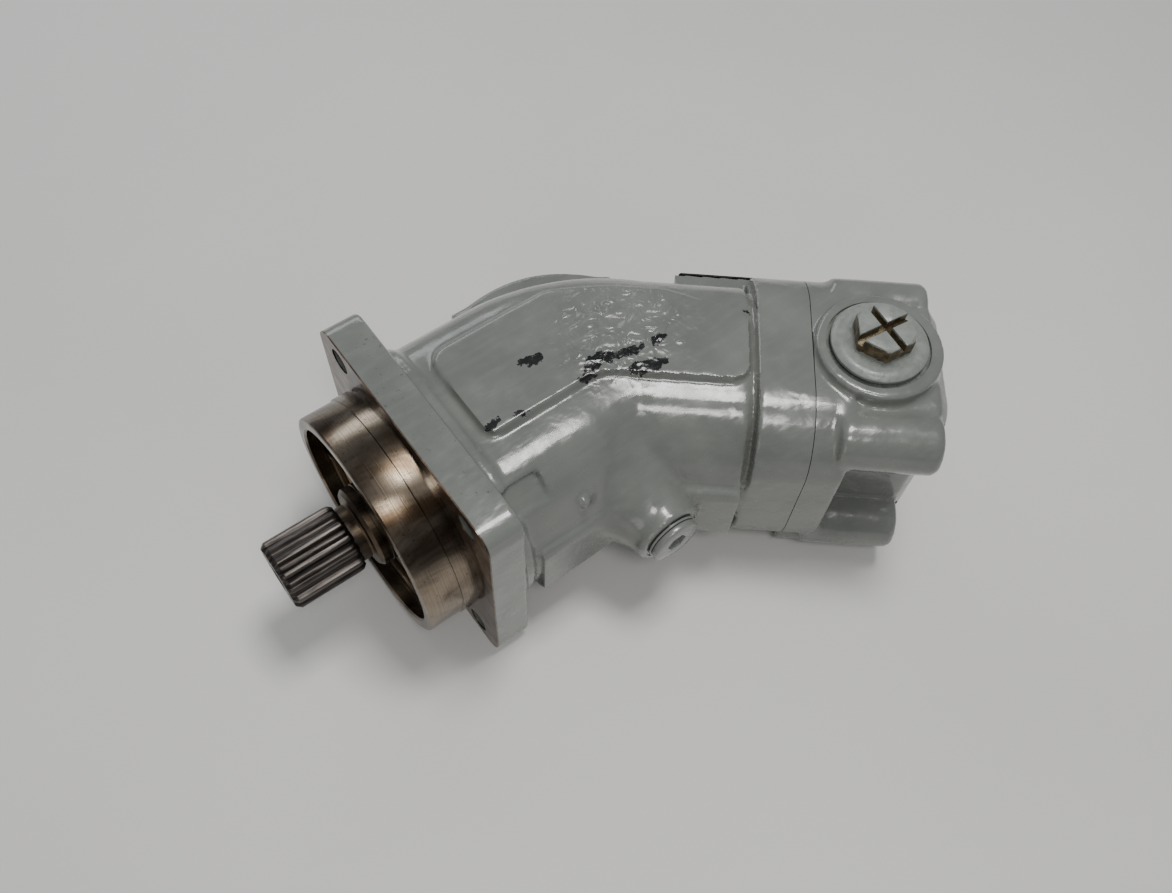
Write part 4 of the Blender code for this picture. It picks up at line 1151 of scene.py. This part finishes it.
def spline_outline(scale):
    """Involute-like teeth with rounded flanks."""
    root = SPLINE_ROOT_RADIUS * scale
    tip = SPLINE_TIP_RADIUS * scale
    middle = (root + tip) / 2
    outline = []
    pitch = math.tau / SPLINE_TEETH
    valley = [(0.04, root), (0.18, root - 0.15), (0.32, root)]
    rise = [(0.40, root + 0.35), (0.45, middle), (0.52, tip - 0.12)]
    land = [(0.56, tip), (0.68, tip + 0.05), (0.80, tip)]
    fall = [(0.84, tip - 0.12), (0.91, middle), (0.96, root + 0.35)]
    for tooth in range(SPLINE_TEETH):
        for share, radius in valley + rise + land + fall:
            angle = pitch * (tooth + share)
            outline.append((radius * math.cos(angle), radius * math.sin(angle)))
    return outline


def make_spline(look):
    """Splined shaft end with a centre hole."""
    levels = [
        (SHAFT_END_X, 0.885),
        (SHAFT_END_X + 0.2, 0.90),
        (SHAFT_END_X + 1.8, 0.995),
        (SHAFT_END_X + 2.1, 1.0),
        (SPLINE_END_X - 3.0, 1.0),
        (SPLINE_END_X - 1.5, 0.985),
        (SPLINE_END_X, 0.90),
    ]
    rings = [[SHAFT @ Vector((x, y, z)) for x, y in spline_outline(size)] for z, size in levels]
    mouth = CENTRE_HOLE_MOUTH
    hole = [(0, SHAFT_END_X - 2), (mouth, SHAFT_END_X - 2), (mouth, SHAFT_END_X)]
    hole += [(CENTRE_HOLE_RADIUS, SHAFT_END_X + 1.2), (CENTRE_HOLE_RADIUS, -44), (0, -41)]
    teeth = cut(loft(rings), lathe(SHAFT, hole, 48))
    place_piece(teeth, "shaft_spline", look, "shaft", "shaft_steel", "drive_shaft", sharp=28)


def make_journal(look):
    """Stepped shaft behind the spline, with the drive flange's sockets and screw holes."""
    start = SEAL_JOURNAL_X
    seal = SEAL_JOURNAL_RADIUS
    rear = REAR_JOURNAL_RADIUS
    neck = [(0, NECK_X), (11.4, NECK_X), (12.0, NECK_X + 1.1), (12.0, NECK_X + 5.0), (12.5, start - 0.3)]
    front = [(13.2, start), (seal - 1.4, start), (seal, start + 1.4), (seal, -21.0)]
    front += [(seal - 0.25, -20.8), (seal - 0.25, -19.6), (seal, -19.4), (seal, 27)]
    back = [(rear, 27.6), (rear, BEARING_STOP_X - 0.4), (COLLAR_RADIUS, BEARING_STOP_X + 0.2)]
    back += [(COLLAR_RADIUS, 58), (DRIVE_FLANGE_RADIUS, 66), (DRIVE_FLANGE_RADIUS, BEND_X), (0, BEND_X)]
    face = Matrix.Translation((BEND_X, 0, 0)) @ SHAFT
    hollows = [sphere(face, CENTRE_SOCKET_RADIUS, 24)]
    for index in range(PISTONS):
        hollows.append(sphere(around(face, BALL_PITCH, math.tau * index / PISTONS), SOCKET_RADIUS, 24))
    for slot in SCREW_SLOTS:
        place = around(SHAFT, SCREW_PITCH, math.tau * (slot + 0.5) / PISTONS)
        hollows.append(cylinder(place, 1.8, 76, BEND_X + 3, 16))
    body = cut(lathe(SHAFT, neck + front + back, 96), *hollows)
    place_piece(body, "shaft_journal", look, "shaft", "shaft_steel", "drive_shaft", sharp=28)


def make_nameplate(look):
    """Blank plate with rounded corners on its seat."""
    place = frame_of(BLOCK @ Vector((PLATE_FACE_N, 0, PLATE_CENTRE_D)), AXIS, -UP, NORMAL)
    outline = rounded_rectangle(PLATE_HALF_LENGTH, PLATE_HALF_HEIGHT, 1.5, 6)
    plate = prism(place, outline, GAP, 1.1)
    bevel(plate, 0.12)
    return place_piece(plate, "blank_nameplate", look, "casing", "plate_alloy", "nameplate")


# ---------------------------------------------------------------- assembly and stage


def dress_inner_nodes():
    """Give the CAD nodes that stay a worked surface; returns the looks by material slot."""
    ground = plain_metal("ground_steel", (0.42, 0.42, 0.43), (0.6, 0.6, 0.61), 1.0, 0.14, 0.3)
    bronze = plain_metal("bronze_grain", (0.46, 0.28, 0.12), (0.6, 0.4, 0.2), 1.0, 0.25, 0.42)
    black = plain_metal("black_oxide_grain", (0.03, 0.03, 0.033), (0.07, 0.07, 0.075), 0.8, 0.35, 0.55)
    copper = plain_metal("copper_grain", (0.5, 0.24, 0.13), (0.64, 0.34, 0.2), 1.0, 0.28, 0.45)
    looks = {
        "bearing_steel": ground,
        "bronze": bronze,
        "black_oxide": black,
        "copper": copper,
        "rubber": rubber_look(),
        "plate_alloy": plate_look(),
    }
    rows = {row["node"]: row["material_slot"] for row in frame["record"]["subparts"]}
    for name, item in frame["nodes"].items():
        look = looks.get(rows[name])
        if look is None:
            continue
        if item.data.materials:
            item.data.materials[0] = look
        else:
            item.data.materials.append(look)
    return looks


def build_pump():
    looks = dress_inner_nodes()
    housing_paint = grey_paint("grey_enamel_housing", housing=True)
    cover_paint = grey_paint("grey_enamel_cover")
    # pilot colours and high staining share: brown staining plus a painted reflection of brown wood, dark brown
    # over most of the pilot
    pilot_steel = turned_steel("pilot_steel", (0.31, 0.26, 0.2), (0.04, 0.024, 0.013), 0.17, 0.28, 0.95)
    carrier_steel = turned_steel("carrier_steel", (0.25, 0.195, 0.13), (0.09, 0.058, 0.034), 0.25, 0.45)
    shaft_steel = spline_steel()
    make_casting(housing_paint)
    make_pilot(pilot_steel)
    make_cover(cover_paint)
    make_cover_bolts(looks["black_oxide"])
    make_port_plug(plug_look())
    make_lower_plug(looks["black_oxide"])
    make_drain_plug(cover_paint)
    port = (13.2, 18.6, PORT_SPOT_Z + GAP, PORT_WASHER_THICKNESS)
    drain = (8.6, 11.5, DRAIN_FACE + GAP, DRAIN_WASHER_THICKNESS)
    make_washer(PORT_TOP, port, "upper_seal_washer", cover_paint, "port_washer_top")
    make_washer(PORT_BOTTOM, port, "lower_seal_washer", looks["copper"], "port_washer_bottom")
    make_washer(DRAIN, drain, "drain_seal_washer", cover_paint, "drain_washer")
    make_seal_carrier(carrier_steel)
    make_shaft_seal(looks["rubber"])
    make_snap_ring(carrier_steel)
    make_spline(shaft_steel)
    make_journal(shaft_steel)
    make_nameplate(looks["plate_alloy"])


def make_camera():
    """Main camera; its place and axes are in the design frame."""
    data = bpy.data.cameras.new("photo_camera")
    data.sensor_width = 36.0
    data.lens = 32.44
    data.clip_start = 0.01
    camera = bpy.data.objects.new("photo_camera", data)
    right = Vector((0.80031, -0.59837, 0.03816))
    forward = Vector((0.33006, 0.38652, -0.86120))
    above = right.cross(forward)
    place = frame_of(Vector((-75.17, -194.29, 383.74)) * METRE + ORIGIN, right, above, -forward)
    camera.matrix_world = place
    bpy.context.scene.collection.objects.link(camera)
    bpy.context.scene.camera = camera


def area_light(name, place, target, size, power, colour):
    data = bpy.data.lights.new(name, "AREA")
    data.shape = "RECTANGLE"
    data.size = size[0]
    data.size_y = size[1]
    data.energy = power
    data.color = colour
    light = bpy.data.objects.new(name, data)
    light.location = place
    light.rotation_euler = (Vector(target) - Vector(place)).to_track_quat("-Z", "Y").to_euler()
    bpy.context.scene.collection.objects.link(light)


def make_stage():
    bpy.ops.mesh.primitive_plane_add(size=6.0, location=(0, 0, cad_box[0][2]))
    floor = bpy.context.object
    floor.name = "floor"
    floor.data.materials.append(floor_look())
    world = bpy.context.scene.world or bpy.data.worlds.new("studio")
    bpy.context.scene.world = world
    world.use_nodes = True
    backdrop = world.node_tree.nodes["Background"]
    backdrop.inputs["Color"].default_value = (0.84, 0.88, 0.95, 1.0)
    backdrop.inputs["Strength"].default_value = 0.25
    middle = (0, 0, 0.06)
    area_light("ceiling", (0.2, 0.02, 1.2), middle, (0.34, 0.3), 8.0, (1.0, 0.99, 0.97))
    area_light("front", (-0.22, -0.44, 1.0), middle, (0.26, 0.2), 2.9, (1.0, 0.98, 0.95))
    area_light("window", (0.15, 1.3, 0.75), middle, (1.2, 0.4), 4.0, (0.95, 0.97, 1.0))
    area_light("side", (-1.2, -0.5, 0.45), middle, (0.5, 0.5), 1.1, (1.0, 0.93, 0.85))


build_pump()
make_camera()
make_stage()
